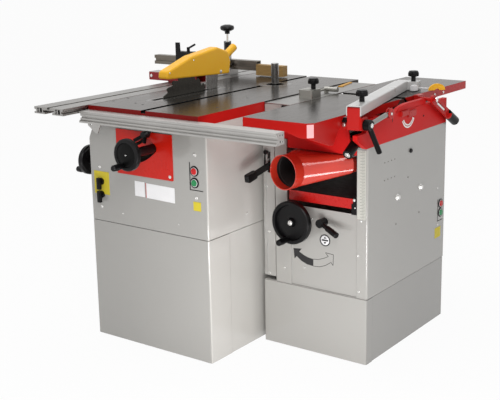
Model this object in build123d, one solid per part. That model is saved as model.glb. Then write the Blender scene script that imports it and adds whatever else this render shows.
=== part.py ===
from build123d import *
import os
from math import asin, atan2, cos, hypot, pi, radians, sin, tan

# Combination woodworking machine: circular saw with sliding table and spindle moulder in the
# left cabinet, planer and thicknesser in the right cabinet. Millimetres. X runs to the right,
# Y to the back, Z up. The origin is on the floor at the centre of the saw cabinet.

# Fits and cutting allowances
RUN_GAP = 0.05
SEAT_GAP = 0.3
TURN_GAP = 0.3
SLIDE_GAP = 0.3
BELT_GAP = 0.4
OVER = 1.0

# Saw cabinet
CAB_W = 540.0
CAB_D = 860.0
SEAM_Z = 442.0
SHEET = 3.0
JOGGLE = 2.0
WRAP_D = 116.0
FOOT_FLANGE = 45.0
TOP_FLANGE = 22.0
ANCHOR_R = 6.0
ANCHOR_INSET = 28.0
CORNER_R = 6.0
SHADOW_GAP = 2.5
CHAMFER_Z = 735.0
CHAMFER_W = 46.0
SAW_L = -CAB_W / 2
SAW_R = CAB_W / 2
SAW_F = -CAB_D / 2
SAW_B = CAB_D / 2

# Saw and spindle table
TABLE_Z = 870.0
TABLE_INSET = 45.0
TABLE_L = 1028.0
TABLE_OVERHANG = 37.0
TABLE_T = 16.0
RIM_H = 36.0
RIM_W = 12.0
RIB_T = 12.0
RIB_H = 12.0
LEDGE = 6.0
LEDGE_Z = 7.0
TABLE_X0 = SAW_L + TABLE_INSET
TABLE_X1 = SAW_R
TABLE_Y0 = SAW_F - TABLE_OVERHANG
TABLE_Y1 = TABLE_Y0 + TABLE_L
UNDER_Z = TABLE_Z - TABLE_T
RIM_Z = TABLE_Z - RIM_H
GROOVE_W = 22.0
GROOVE_DEPTH = 9.0
GROOVE_IN = 257.0
GROOVE_X = TABLE_X0 + GROOVE_IN

# Blade, arbor and insert
BLADE_X = TABLE_X0 + 136.0
BLADE_Y = -98.0
BLADE_R = 150.0
BLADE_T = 3.2
BLADE_TEETH = 24
BLADE_PROUD = 74.0
BLADE_Z = TABLE_Z + BLADE_PROUD - BLADE_R
GULLET = 13.0
TOOTH_DROP = 2.0
ARBOR_R = 15.0
HOUSING_R = 32.0
FLANGE_R = 30.0
FLANGE_T = 12.0
NUT_L = 14.0
INSERT_W = 70.0
INSERT_L = 428.0
INSERT_Y = -86.0
INSERT_END = 24.0
INSERT_SLOT = 22.0
SLOT_LEFT = 0.7

# Tilting cradle
TRUNNION_R = 95.0
TRUNNION_RING = 27.0
TRUNNION_T = 14.0
TRUNNION_FRONT = -340.0
TRUNNION_REAR = 140.0
TILT_MAX = 45.0
BEAM_Z0 = 560.0
BEAM_Z1 = 590.0
BEAM_HALF = 30.0
TOP_BAR_Z = 837.5
TOP_BAR_T = 10.0
TOP_BAR_HALF = 14.0
HANGER_T = 12.0
HANGER_LEFT = 27.0
HANGER_RIGHT = 10.0
HANGER_HIGH = 64.0
HANGER_LOW = 80.0
HANGER_SLOPE = 12.0
HANGER_STEP = 14.0
CHEEK_UP = 20.0
CHEEK_DOWN = 22.0
ROD_R = 12.0
ROD_X = BLADE_X + 99.0
ROD_DY = 100.0
SLEEVE_DX = 127.0
SLEEVE_DZ = -135.0
SLEEVE_R = 16.0
SLEEVE_X = BLADE_X + SLEEVE_DX
SLEEVE_Z = TABLE_Z + SLEEVE_DZ
LOCK_DX = 107.0
LOCK_DZ = -87.0
LOCK_X = BLADE_X + LOCK_DX
LOCK_Z = TABLE_Z + LOCK_DZ
LOCK_STUD_R = 5.0
LOCK_ARMS = ((23.0, 40.0), (211.0, 40.0), (298.0, 26.0))

# Saw carriage, motor and belt
CARRIAGE_HALF = 22.0
CARRIAGE_TOP = 24.0
CARRIAGE_LOW = 48.0
CARRIAGE_END = 24.0
HOUSING_FRONT = 8.0
HOUSING_BACK = 6.0
MOTOR_ARM_T = 14.0
MOTOR_ARM_GAP = 8.0
MOTOR_ARM_HIGH = 20.0
MOTOR_ARM_LOW = 30.0
MOTOR_ARM_ROOT = 10.0
MOTOR_ARM_DROP_X = 36.0
KNIFE_SEAT = 4.0
KNIFE_ARM_LOW = 36.0
KNIFE_ARM_HIGH = 16.0
KNIFE_ARM_HALF = 20.0
PULLEY_R = 34.0
BELT_T = 4.0
BELT_W = 16.0
ARBOR_PULLEY_X = BLADE_X + 173.0
SAW_MOTOR_X = BLADE_X + 201.0
SAW_MOTOR_X1 = SAW_R - 18.0
SAW_MOTOR_R = 66.0
SAW_MOTOR_DROP = 146.0
MOTOR_SHAFT_R = 10.0

# Riving knife and blade guard
KNIFE_T = 2.5
KNIFE_GAP = 4.0
KNIFE_Y0 = 62.0
KNIFE_Y1 = 98.0
KNIFE_TOP = 84.0
GUARD_W = 46.0
GUARD_WALL = 3.0
GUARD_BEND = 12.0
GUARD_ROUND = 9.0
GUARD_FRONT = (-226.0, 938.0)
GUARD_NOSE = (-220.0, 968.0)
GUARD_RISE = (-80.0, 1010.0)
GUARD_CREST = (76.0, 1030.0)
GUARD_BACK = (140.0, 1010.0)
GUARD_HEEL = (157.0, 970.0)
GUARD_TAIL = (148.0, 920.0)
GUARD_BOLT_Y = 88.0
GUARD_BOLT_Z = 936.0
GUARD_BOLT_R = 3.9
SPOUT_R = 15.0
SPOUT_WALL = 2.5
SPOUT_ROOT = (118.0, 973.0)
SPOUT_END = (206.0, 1018.0)

# Spindle moulder
SPINDLE_X = GROOVE_X + 18.0
SPINDLE_Y = 288.0
RIB_DY = 115.0
SPINDLE_R = 15.0
SPINDLE_TOP = 953.0
SPINDLE_BOTTOM = 505.0
SPINDLE_PULLEY_R = 45.0
SPINDLE_PULLEY_H = 35.0
COLLAR_R = 26.0
COLLAR_H = 12.0
QUILL_R = 42.0
QUILL_WALL = 12.0
QUILL_BOTTOM = 570.0
QUILL_TOP = 800.0
GUIDE_BOTTOM = 640.0
GUIDE_FLANGE = 40.0
GUIDE_RIB_L = 60.0
GUIDE_RIB_Z = 700.0
RING_R = 67.5
RING_HOLE_R = 35.0

# Control plate, rail, handwheels and switches on the saw's front and side
PLATE_X0 = BLADE_X - 43.0
PLATE_X1 = BLADE_X + 214.0
PLATE_Z0 = 630.0
PLATE_Z1 = 790.0
PLATE_T = 3.0
PLATE_R = 3.0
CUT_LEFT = 14.0
CUT_RIGHT = 50.0
CUT_LOW = 20.0
RAIL_X0 = TABLE_X0 - 2.0
RAIL_REACH = 337.0
RAIL_X1 = SAW_R + RAIL_REACH
RAIL_H = 40.0
RAIL_D = 46.0
RAIL_TOP = 854.0
RAIL_WALL = 4.0
RAIL_DISH = 7.0
RAIL_SLOT = 13.0
RAIL_SLOT_LOW = 16.0
RAIL_SLOT_HIGH = 23.0
RAIL_LOW_LIP = 6.0
RAIL_TOP_LIP = 7.0
RAIL_EASE = 10.0
GUSSET_W = 62.0
GUSSET_H = 42.0
GUSSET_T = 4.0
GUSSET_HOLE_R = 5.0
WHEEL_SHAFT_R = 8.0
WHEEL_DEPTH = 20.0
WHEEL_RIM = 13.0
WHEEL_EDGE = 4.0
WHEEL_HUB = 9.0
SAW_WHEEL_R = 55.0
SAW_WHEEL_Y = -558.0
SAW_GRIP_L = 58.0
SAW_GRIP_TURN = 246.0
SIDE_WHEEL_R = 55.0
SIDE_WHEEL_X = SAW_L - 58.0
SIDE_WHEEL_Y = -371.0
SIDE_WHEEL_Z = 645.0
SIDE_SHAFT_L = 120.0
SIDE_GRIP_L = 52.0
SIDE_GRIP_TURN = 117.0
BUTTON_R = 11.0
BUTTON_PROUD = 7.0
BUTTON_DEPTH = 16.0
BUTTON_X = SAW_R - 52.0
STOP_Z = 676.0
START_Z = 636.0
SELECTOR_X = SAW_L + 54.0
SELECTOR_ZS = (588.0, 540.0)
SELECTOR_R = 13.0
SELECTOR_H = 9.0
SELECTOR_BAR = 22.0

# Sliding table
SLIDER_W = 142.0
SLIDER_T = 24.0
SLIDER_L = 1200.0
SLIDER_FRONT = -585.0
SLIDER_GAP = 5.0
SLOT_W = 14.0
SLOT_DEPTH = 7.0
HEAD_W = 56.0
HEAD_H = 8.0
HEAD_Z = 6.0
NECK_W = 36.0
GUIDE_L = 980.0
GUIDE_INSET = 27.0
SIDE_GROOVE = 9.0
CHAMBER_IN = 14.0
CHAMBER_OUT = 38.0
SLIDER_X1 = TABLE_X0 - SLIDER_GAP
SLIDER_X0 = SLIDER_X1 - SLIDER_W
SLIDER_MID = (SLIDER_X0 + SLIDER_X1) / 2
SLIDER_Z = TABLE_Z - SLIDER_T

# Crosscut bar and fence
BAR_L = 249.0
BAR_X1 = SLIDER_X1 + 21.0
BAR_Y = 115.0
BAR_D = 60.0
BAR_H = 34.0
BAR_LIFT = 6.0
BAR_WALL = 3.0
FENCE_L = 566.0
FENCE_X1 = TABLE_X0 + 63.0
FENCE_X0 = FENCE_X1 - FENCE_L
FENCE_Y = 455.0
FENCE_D = 34.0
FENCE_H = 40.0
FENCE_Z = 892.0
FENCE_TOP = FENCE_Z + FENCE_H
FENCE_GROOVE_W = 12.0
FENCE_GROOVE_D = 8.0
BLOCK_L = 136.0
BLOCK_CLEAR = 4.0
BLOCK_STEP = 14.0
BLOCK_PROUD = 2.0
STOP_X = FENCE_X0 + 133.0
STOP_L = 88.0
STOP_BODY_H = 22.0
STOP_POST_W = 19.0
STOP_POST_H = 61.0
STOP_FRONT = 9.0
STOP_HANDLE_DX = 57.0
HOLD_X = FENCE_X1 - 114.0
HOLD_Y = 410.0
HOLD_POST_X = HOLD_X - 26.0
HOLD_POST_HALF = 11.0
HOLD_FOOT_HALF = 20.0
HOLD_FOOT_H = 30.0
HOLD_FOOT_D = 24.0
HOLD_ARM_Z0 = 976.0
HOLD_ARM_Z1 = 1012.0
HOLD_ARM_R = 12.5
HOLD_KNOB_Z = 1046.0
HOLD_KNOB_R = 30.0
HOLD_KNOB_H = 38.0
HOLD_R = 5.0
HOLD_PAD_Z = 905.0
HOLD_PAD_R = 16.0
HOLD_PAD_H = 11.0

# Planer cabinet
BASE_X0 = SAW_R + 24.0
PLANER_W = 374.0
PL_X0 = SAW_R + 73.0
PL_X1 = PL_X0 + PLANER_W
PL_FRONT = -144.0
PL_BACK = 437.0
BASE_H = 235.0
BASE_PROUD = 4.0
BASE_WRAP = 40.0
MEMBER_Z = 70.0
MEMBER_T = 5.0
MEMBER_HALF = 55.0
GREY_TOP = 755.0
RETURN_L = 52.0
RETURN_R = 42.0
STEP_IN = 16.0
TUNNEL_Z = 525.0
PANEL_STEP = 4.0
PLANER_BUTTON_Y = 404.0
PLANER_STOP_Z = 451.0
PLANER_START_Z = 416.0

# Planer tables, cutterhead and rollers
JOINT_X0 = PL_X0 + 56.0
JOINT_W = 261.0
JOINT_X1 = JOINT_X0 + JOINT_W
JOINT_MID = (JOINT_X0 + JOINT_X1) / 2
JOINT_Y0 = -398.0
JOINT_Y1 = 730.0
JOINT_T = 14.0
JOINT_RIM = 30.0
JOINT_WALL = 14.0
JOINT_CORNER = 19.0
JOINT_RIB_T = 10.0
APRON_H = 48.0
APRON_BEND = 44.0
APRON_RISE = 108.0
SKIRT_H = 88.0
SKIRT_LOW_Y = -275.0
SKIRT_UP_Y = -226.0
CUTTER_Y = 198.0
CUTTER_R = 36.0
CUTTER_Z = TABLE_Z - CUTTER_R
CUTTER_SHAFT_R = 17.5
CUTTER_END = 4.0
KNIVES = 3
LIP_OUT = 20.0
LIP_IN = 27.0
LIP_T = 4.0
LIP_CUT = 70.0
ROLLER_R = 20.0
ROLLER_SHAFT_R = 10.0
ROLLER_DY = 62.0
ROLLER_DROP = 1.0
ROLLER_SWING = 3.0
ROLLER_Z = CUTTER_Z - CUTTER_R - ROLLER_DROP + ROLLER_R
HINGE_X = JOINT_X0 + 6.0
HINGE_Z = 850.0
HINGE_R = 6.0
HINGE_EAR = ((-8.0, -38.0), (10.0, -10.0), (10.0, 7.0), (-8.0, 7.0), (-8.0, -9.0))
EAR_ROOT_LOW = 66.0
EAR_ROOT_HIGH = 40.0
FORK_DROP = 30.0
HINGE_YS = (-40.0, 60.0)
CARRIER_YS = (300.0, 400.0)
EYE_R = 9.5
EYE_L = 22.0
EAR_T = 8.0
FOLD_SKIN = 6.0
FOLD_ROOM = 10.0
DEPTH_TRAVEL = 4.0
DEPTH_SPARE = 0.5
CARRIER_Z0 = 812.0
CARRIER_Z1 = TABLE_Z - JOINT_RIM - DEPTH_TRAVEL - DEPTH_SPARE
CARRIER_PIN_R = 8.0
CARRIER_PIN_DX = 78.0
CARRIER_PIN_YS = (311.0, 411.0)
CARRIER_END = 20.0
CARRIER_MID = 11.0

# Cast side plates of the planer
SIDE_T = 17.0
SIDE_FRONT = -216.0
SIDE_NOSE_Z = 792.0
SIDE_STEP_Z = 808.0
SIDE_STEP_Y = -160.0
SIDE_TOP = 846.0
LEFT_LOW = 826.0
BOSS_R = 30.0
BOSS_L = 22.0
BLIND = 4.0
REST_Y = -20.0
CARRIER_REST_Y = 360.0
REST_HALF = 18.0
REST_H = 22.0
REST_REACH = 26.0
CROSS_Z0 = 726.0
CROSS_Z1 = 832.0
CROSS_TAB = GREY_TOP + 7.0
CROSS_T = 5.0
CROSS_SLOPE = 12.0
CROSS_X1 = JOINT_X1 - 12.0

# Levers on the planer tables
PIVOT_R = 7.0
LEVER_T = 9.0
LEVER_R = 16.0
LEVER_SLOT_R = 6.0
GRIP_R = 17.0
DEPTH_PIVOT = (286.0, 860.0)
DEPTH_TIP = (411.0, 790.0)
DEPTH_GRIP_L = 70.0
DEPTH_ARM_X = PL_X1 + 14.0
DEPTH_BOSS_X = JOINT_X1 + 4.0
DEPTH_BOSS_T = 20.0
DEPTH_BOSS_HALF = 13.0
LATCH_PIVOT = (-114.0, 805.0)
LATCH_TIP = (-164.0, 774.0)
LATCH_GRIP_L = 60.0
LATCH_ARM_X = JOINT_X1 + 16.0

# Bridge guard over the cutterhead
BRIDGE_X = JOINT_X1 + 44.5
BRIDGE_Y = -219.3
BRIDGE_TURN = 13.8
BRIDGE_W = 49.0
BRIDGE_H = 32.5
BRIDGE_L = 615.0
BRIDGE_WALL = 3.0
BRIDGE_LIFT = 2.5
BRIDGE_R = 4.0
BRIDGE_Z0 = TABLE_Z + BRIDGE_LIFT
BRIDGE_Z1 = BRIDGE_Z0 + BRIDGE_H
END_X1 = 64.0
END_Y0 = 30.0
END_Y1 = 52.0
PIN_R = 5.0
PIN_Y = 8.0
PIN_Z = BRIDGE_Z1 - 12.0
KNOB_R = 20.0
KNOB_H = 38.0
KNOB_STUD_R = 5.0
KNOB_STUD_L = 20.0
FRONT_KNOB_Y = 97.0
REAR_KNOB_X = 41.0
REAR_KNOB_Y = BRIDGE_L + 28.0
HUB_Y = -192.0
HUB_Z = 842.0
HUB_R = 18.0
HUB_L = 22.0
BRACKET_X1 = PL_X1 + 14.0
BRACKET_FRONT = 22.0
BRACKET_BACK = 16.0
BRACKET_DROP = 16.0
BRACKET_TOP = TABLE_Z - 4.0
CLAMP_ARM = (114.0, 20.0)
CLAMP_GRIP = (58.0, -98.0)

# Gap plate, planer fence clamp and link panel
GAP_X0 = SAW_R
GAP_X1 = PL_X0 + 37.0
GAP_Y0 = -94.0
GAP_Y1 = 505.0
GAP_Z = 866.0
GAP_T = 4.0
MOUNT_X0 = GAP_X0 + 49.0
MOUNT_X1 = GAP_X1 - 4.0
MOUNT_Y0 = 48.0
MOUNT_Y1 = 112.0
MOUNT_H = 31.0
MOUNT_Z = GAP_Z + MOUNT_H
MOUNT_R = 6.0
MOUNT_KNOB_X = MOUNT_X0 + 34.0
MOUNT_KNOB_Y = MOUNT_Y0 + 47.0
TUBE_R = 9.0
TUBE_Y = CUTTER_Y + 16.0
TUBE_Z = GAP_Z + 14.0
LINK_ROD_R = 5.0
LINK_X0 = SAW_R + 26.0
LINK_Z0 = BASE_H + 15.0
LINK_RETURN = 40.0
FEED_X = SAW_R + 50.0
FEED_PIVOT_Y = -110.0
FEED_PIVOT_Z = 662.0
FEED_T = 8.0
FEED_SLOT_HALF = 7.0
FEED_SLOT_LOW = 34.0
FEED_SLOT_HIGH = 42.0
FEED_ARM = ((14.0, 12.0), (14.0, -12.0), (-34.0, -20.0), (-150.0, -40.0), (-154.0, -20.0), (-34.0, 2.0))
FEED_GRIP = ((-112.0, -10.0), (-116.0, -37.0), (-164.0, -46.0), (-169.0, -18.0))
FEED_GRIP_SIDE = 5.0

# Thicknessing table
THICK_X0 = JOINT_X0 + 3.0
THICK_X1 = JOINT_X1 + 1.0
THICK_Z = 577.0
THICK_H = 35.0
THICK_T = 12.0
THICK_WALL = 14.0
THICK_BACK = 24.0
COLUMN_R = 35.0
COLUMN_X = JOINT_MID
COLUMN_Y = 146.0
COLUMN_BOTTOM = 160.0
COLUMN_BOSS = 22.0
COLUMN_TUBE = 11.0
COLUMN_TUBE_H = 40.0
THICK_WHEEL_R = 76.0
THICK_WHEEL_X = PL_X0 + 99.0
THICK_WHEEL_Y = -186.0
THICK_WHEEL_Z = 475.0
THICK_WHEEL_DEPTH = 26.0
THICK_GRIP_L = 66.0
THICK_GRIP_TURN = 257.0
SHAFT_REACH = 60.0
CLAMP_X = PL_X0 + 203.0
CLAMP_Z = 482.0
CLAMP_HUB_R = 15.0
CLAMP_HUB_L = 34.0

# Chip chute under the cutterhead
PORT_R = 60.0
PORT_WALL = 3.0
PORT_X = PL_X0 + 109.0
PORT_Y = -250.0
PORT_Z = 664.0
PORT_L = 40.0
PORT_TURN = 9.0
HOOD_X0 = JOINT_X0 + 7.0
HOOD_X1 = JOINT_X1 - 6.0
HOOD_Z0 = 657.0
HOOD_Z1 = 722.0
HOOD_FRONT = -130.0
HOOD_BACK = 262.0
HOOD_R = 24.0
MOUTH_L = 118.0
RUNNER_Y = PL_FRONT + 60.0
RUNNER_Z = 692.0
RUNNER_T = 4.0
RUNNER_W = 9.0
RUNNER_GAP = 2.0
SHOULDER = 1.5

# Planer drive
MOTOR_Y = -30.0
MOTOR_Z = 110.0
MOTOR_R = 72.0
MOTOR_L = 180.0
MOTOR_FOOT_L = 120.0
MOTOR_FOOT_HALF = 50.0
MOTOR_FOOT_DROP = 4.0
MOTOR_FOOT_H = 30.0
TRAY_HALF = 60.0
TRAY_T = 5.0
PULLEY_X = SAW_R + 54.0
DRIVE_SHAFT_R = 12.0
CUTTER_PULLEY_R = 22.0
MOTOR_PULLEY_R = 50.0


def block(x0, x1, y0, y1, z0, z1):
    return Pos((x0 + x1) / 2, (y0 + y1) / 2, (z0 + z1) / 2) * Box(x1 - x0, y1 - y0, z1 - z0)


def rod_x(r, x0, x1, y, z):
    return Pos((x0 + x1) / 2, y, z) * Rot(0, 90, 0) * Cylinder(r, x1 - x0)


def rod_y(r, y0, y1, x, z):
    return Pos(x, (y0 + y1) / 2, z) * Rot(90, 0, 0) * Cylinder(r, y1 - y0)


def rod_z(r, z0, z1, x, y):
    return Pos(x, y, (z0 + z1) / 2) * Cylinder(r, z1 - z0)


def outline(points, radius=0.0):
    if radius:
        return make_face(FilletPolyline(*points, radius=radius, close=True))
    return make_face(Polyline(*points, close=True))


def side_plane(x):
    """A plane across X whose own axes are world Y and Z."""
    return Plane((x, 0, 0), x_dir=(0, 1, 0), z_dir=(1, 0, 0))


def prism_x(points, x0, x1, radius=0.0):
    """An outline of (y, z) points from x0 to x1."""
    return extrude(side_plane(x0) * outline(points, radius), amount=x1 - x0)


def prism_y(points, y0, y1, radius=0.0):
    """An outline of (x, z) points from y0 to y1."""
    plane = Plane((0, y1, 0), x_dir=(1, 0, 0), z_dir=(0, -1, 0))
    return extrude(plane * outline(points, radius), amount=y1 - y0)


def prism_z(points, z0, z1, radius=0.0):
    """An outline of (x, y) points from z0 to z1."""
    return extrude(Plane.XY.offset(z0) * outline(points, radius), amount=z1 - z0)


def turned(points):
    """A solid of revolution about Z from (radius, z) points."""
    return revolve(Plane.XZ * outline(points), axis=Axis.Z)


def between(r, start, end):
    """A round bar from one point to another."""
    run = Vector(*end) - Vector(*start)
    plane = Plane(origin=start, z_dir=run)
    return extrude(plane * Circle(r), amount=run.length)


def handwheel(radius, depth, shaft_l, grip_l, grip_turn):
    """A dished wheel with a turning grip, facing +Z, with its shaft behind it."""
    rim = WHEEL_RIM
    edge = WHEEL_EDGE
    hub_r = WHEEL_SHAFT_R + WHEEL_HUB
    web = [(0, -depth), (hub_r, -depth), (hub_r, -depth * 0.45), (radius - rim, -depth * 0.3),
           (radius - edge, -depth * 0.5), (radius, -depth * 0.3), (radius, depth * 0.35),
           (radius - edge, depth * 0.5), (radius - rim, depth * 0.5), (radius - rim - edge, 0),
           (hub_r, 0), (hub_r - edge, depth * 0.4), (0, depth * 0.4)]
    wheel = turned(web) + rod_z(WHEEL_SHAFT_R, -depth - shaft_l, -depth, 0, 0)
    neck = 6.0
    waist = 11.5
    grip = [(0, 0), (neck, 0), (neck, 8.0), (neck + 3, 10.0), (waist, grip_l * 0.6),
            (waist - 1, grip_l - 4), (neck + 1, grip_l), (0, grip_l)]
    reach = radius - rim
    turn = radians(grip_turn)
    return wheel + Pos(reach * cos(turn), reach * sin(turn), -OVER) * turned(grip)


def clamp_knob(stud_l):
    """A lobed clamping knob facing +Z on a stud that starts at the origin and runs down."""
    r = KNOB_R
    h = KNOB_H
    lobes = 6
    body = turned([(0, 0), (r * 0.45, 0), (r * 0.42, h * 0.4), (r, h * 0.5), (r, h * 0.8),
                   (r * 0.8, h), (0, h)])
    hollow = Pos(r * 1.1, 0, h * 0.7) * Cylinder(r * 0.22, h)
    for k in range(lobes):
        body -= Rot(0, 0, 360 * (k + 0.5) / lobes) * hollow
    return body + rod_z(KNOB_STUD_R, -stud_l, 0, 0, 0)


def stadium_x(r, x0, x1, a, b):
    """A slot outline around two (y, z) centres, from x0 to x1."""
    return extrude(side_plane(x0) * SlotArc(Line(a, b), 2 * r), amount=x1 - x0)


def wrap_x(x0, x1, a, ra, b, rb):
    """The taut outline around two circles with (y, z) centres a and b, from x0 to x1."""
    run = Vector(*b) - Vector(*a)
    lean = asin((ra - rb) / run.length)
    along = atan2(run.Y, run.X)
    ends = []
    for centre, r, turn in ((a, ra, 1), (b, rb, 1), (b, rb, -1), (a, ra, -1)):
        angle = along + turn * (pi / 2 - lean)
        ends.append((centre[0] + r * cos(angle), centre[1] + r * sin(angle)))
    return prism_x(ends, x0, x1) + rod_x(ra, x0, x1, *a) + rod_x(rb, x0, x1, *b)


def belt_x(x0, x1, a, ra, b, rb):
    """A flat belt loop that clears two pulleys by the belt gap."""
    outer = wrap_x(x0, x1, a, ra + BELT_GAP + BELT_T, b, rb + BELT_GAP + BELT_T)
    return outer - wrap_x(x0 - OVER, x1 + OVER, a, ra + BELT_GAP, b, rb + BELT_GAP)


def cabinet_shell(x0, x1, y0, y1, height, wrap):
    """A folded sheet plinth: front wrap, set-back sides, turned-in foot and top flanges."""
    step = JOGGLE
    foot = [(x0, y0), (x1, y0), (x1, y0 + wrap), (x1 - step, y0 + wrap), (x1 - step, y1),
            (x0 + step, y1), (x0 + step, y0 + wrap), (x0, y0 + wrap)]
    wall = step + SHEET
    lap = wall - OVER
    shell = prism_z(foot, 0, height - SHADOW_GAP)
    shell = fillet(shell.edges().filter_by(Axis.Z).sort_by(Axis.Y)[:2], CORNER_R)
    shell += block(x0 + lap, x1 - lap, y0 + lap, y1 - lap, height - SHEET - SHADOW_GAP, height)
    shell -= block(x0 + wall, x1 - wall, y0 + wall, y1 - wall, SHEET, height - SHEET)
    inner = wall + TOP_FLANGE
    shell -= block(x0 + inner, x1 - inner, y0 + inner, y1 - inner, height - 2 * SHEET, height + OVER)
    inner = wall + FOOT_FLANGE
    shell -= block(x0 + inner, x1 - inner, y0 + inner, y1 - inner, -OVER, 2 * SHEET)
    for x in (x0 + ANCHOR_INSET, x1 - ANCHOR_INSET):
        for y in (y0 + ANCHOR_INSET, y1 - ANCHOR_INSET):
            shell -= rod_z(ANCHOR_R, -OVER, 2 * SHEET, x, y)
    return shell


def saw_base_cabinet():
    return cabinet_shell(SAW_L, SAW_R, SAW_F, SAW_B, SEAM_Z, WRAP_D)


def saw_upper_cabinet():
    """The saw's housing of folded sheet, open above and below, with its panel's openings."""
    t = SHEET
    profile = [(SAW_L, SEAM_Z), (SAW_R, SEAM_Z), (SAW_R, RIM_Z), (SAW_L + CHAMFER_W, RIM_Z),
               (SAW_L, CHAMFER_Z)]
    top = RIM_Z + OVER
    inner = [(SAW_L + t, SEAM_Z + t), (SAW_R - t, SEAM_Z + t), (SAW_R - t, top),
             (SAW_L + CHAMFER_W + t, top), (SAW_L + CHAMFER_W + t, RIM_Z), (SAW_L + t, CHAMFER_Z - t)]
    shell = prism_y(profile, SAW_F, SAW_B)
    shell = fillet(shell.edges().filter_by(Axis.Z).sort_by(Axis.Y)[:2], CORNER_R)
    f = TOP_FLANGE
    shell -= prism_y(inner, SAW_F + t, SAW_B - t)
    shell -= block(SAW_L + f, SAW_R - f, SAW_F + f, SAW_B - f, SEAM_Z - OVER, SEAM_Z + t + OVER)
    front = SAW_F - OVER
    back = SAW_F + t + OVER
    shell -= block(PLATE_X0 + CUT_LEFT, PLATE_X1 - CUT_RIGHT, front, back, PLATE_Z0 + CUT_LOW, PLATE_Z1)
    shell -= rod_x(WHEEL_SHAFT_R + RUN_GAP, SAW_L - OVER, SAW_L + t + OVER, SIDE_WHEEL_Y, SIDE_WHEEL_Z)
    for z in (STOP_Z, START_Z):
        shell -= rod_y(BUTTON_R + SEAT_GAP, front, back, BUTTON_X, z)
    for z in SELECTOR_ZS:
        shell -= rod_y(LOCK_STUD_R + RUN_GAP, front, back, SELECTOR_X, z)
    return shell


def insert_outline(grow):
    """The blade insert's outline in plan: long, with round ends."""
    half = INSERT_L / 2 - INSERT_W / 2
    line = Line((BLADE_X, INSERT_Y - half), (BLADE_X, INSERT_Y + half))
    return SlotArc(line, INSERT_W + 2 * grow)


def saw_table():
    """The cast table with its rim and ribs, the mitre groove and the stepped insert seats."""
    x0 = TABLE_X0 + RIM_W
    x1 = TABLE_X1 - RIM_W
    plate = block(TABLE_X0, TABLE_X1, TABLE_Y0, TABLE_Y1, RIM_Z, TABLE_Z)
    plate -= block(x0, x1, TABLE_Y0 + RIM_W, TABLE_Y1 - RIM_W, RIM_Z - OVER, UNDER_Z)
    for y in (SPINDLE_Y - RIB_DY, SPINDLE_Y + RIB_DY):
        plate += block(x0, x1, y - RIB_T / 2, y + RIB_T / 2, UNDER_Z - RIB_H, UNDER_Z)
    top = TABLE_Z + OVER
    plate -= block(GROOVE_X - GROOVE_W / 2, GROOVE_X + GROOVE_W / 2, TABLE_Y0 - OVER, TABLE_Y1 + OVER,
                   TABLE_Z - GROOVE_DEPTH, top)
    plate -= rod_z(RING_R + SEAT_GAP, TABLE_Z - LEDGE_Z, top, SPINDLE_X, SPINDLE_Y)
    plate -= rod_z(RING_R - LEDGE, RIM_Z, top, SPINDLE_X, SPINDLE_Y)
    seat = Plane.XY.offset(TABLE_Z - LEDGE_Z) * insert_outline(SEAT_GAP)
    plate -= extrude(seat, amount=LEDGE_Z + OVER)
    return plate - extrude(Plane.XY.offset(RIM_Z) * insert_outline(-LEDGE), amount=RIM_H)


def table_inserts():
    """The slotted blade insert and the spindle's ring."""
    insert = extrude(Plane.XY.offset(TABLE_Z - LEDGE_Z) * insert_outline(0), amount=LEDGE_Z)
    y0 = INSERT_Y - INSERT_L / 2 + INSERT_END
    y1 = INSERT_Y + INSERT_L / 2 - INSERT_END
    x0 = BLADE_X - INSERT_SLOT * SLOT_LEFT
    insert -= block(x0, x0 + INSERT_SLOT, y0, y1, RIM_Z, TABLE_Z + OVER)
    ring = rod_z(RING_R, TABLE_Z - LEDGE_Z, TABLE_Z, SPINDLE_X, SPINDLE_Y)
    ring -= rod_z(RING_HOLE_R, RIM_Z, TABLE_Z + OVER, SPINDLE_X, SPINDLE_Y)
    return Compound([insert, ring])


def front_rail():
    """An extruded rail with a flat top, a concave face with a T-slot and open chambers."""
    y0 = TABLE_Y0 - RAIL_D
    z1 = RAIL_TOP
    z0 = z1 - RAIL_H
    dish = y0 + RAIL_DISH
    slot = y0 + RAIL_SLOT
    low = z0 + RAIL_SLOT_LOW
    high = z0 + RAIL_SLOT_HIGH
    face = [(y0, z1), (TABLE_Y0, z1), (TABLE_Y0, z0), (y0, z0), (y0, z0 + RAIL_LOW_LIP),
            (dish, z0 + RAIL_EASE), (dish, low), (slot, low), (slot, high), (dish, high),
            (dish, z1 - RAIL_EASE), (y0, z1 - RAIL_TOP_LIP)]
    rail = prism_x(face, RAIL_X0, RAIL_X1)
    w = RAIL_WALL
    for a, b in ((z0 + w, low), (low + w, z1 - w)):
        rail -= block(RAIL_X0 - OVER, RAIL_X1 + OVER, slot + w, TABLE_Y0 - w, a, b)
    return Compound([rail, rail_gusset()])


def rail_gusset():
    """The triangular gusset that holds the rail's left end to the table's front rim."""
    x = RAIL_X0
    z = RAIL_TOP - RAIL_H
    t = GUSSET_T
    tip = x + 0.66 * GUSSET_W
    shape = [(x, z), (x + GUSSET_W, z), (x + GUSSET_W, z - 2 * t), (tip + t, z - GUSSET_H),
             (tip - t, z - GUSSET_H), (x, z - 4 * t)]
    plate = prism_y(shape, TABLE_Y0 - t - OVER, TABLE_Y0 - OVER, t / 2)
    hole = x + 3 * GUSSET_HOLE_R
    plate -= rod_y(GUSSET_HOLE_R, TABLE_Y0 - 2 * t, TABLE_Y0, hole, z - 2 * GUSSET_HOLE_R)
    x0 = x + RIM_W
    x1 = x + GUSSET_W - RIM_W
    plate += block(x0, x1, TABLE_Y0 - RAIL_D / 2, TABLE_Y0 + RIM_W, z - t, z)
    return plate + block(x0, x1, TABLE_Y0, TABLE_Y0 + RIM_W, z - t, RIM_Z)


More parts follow.
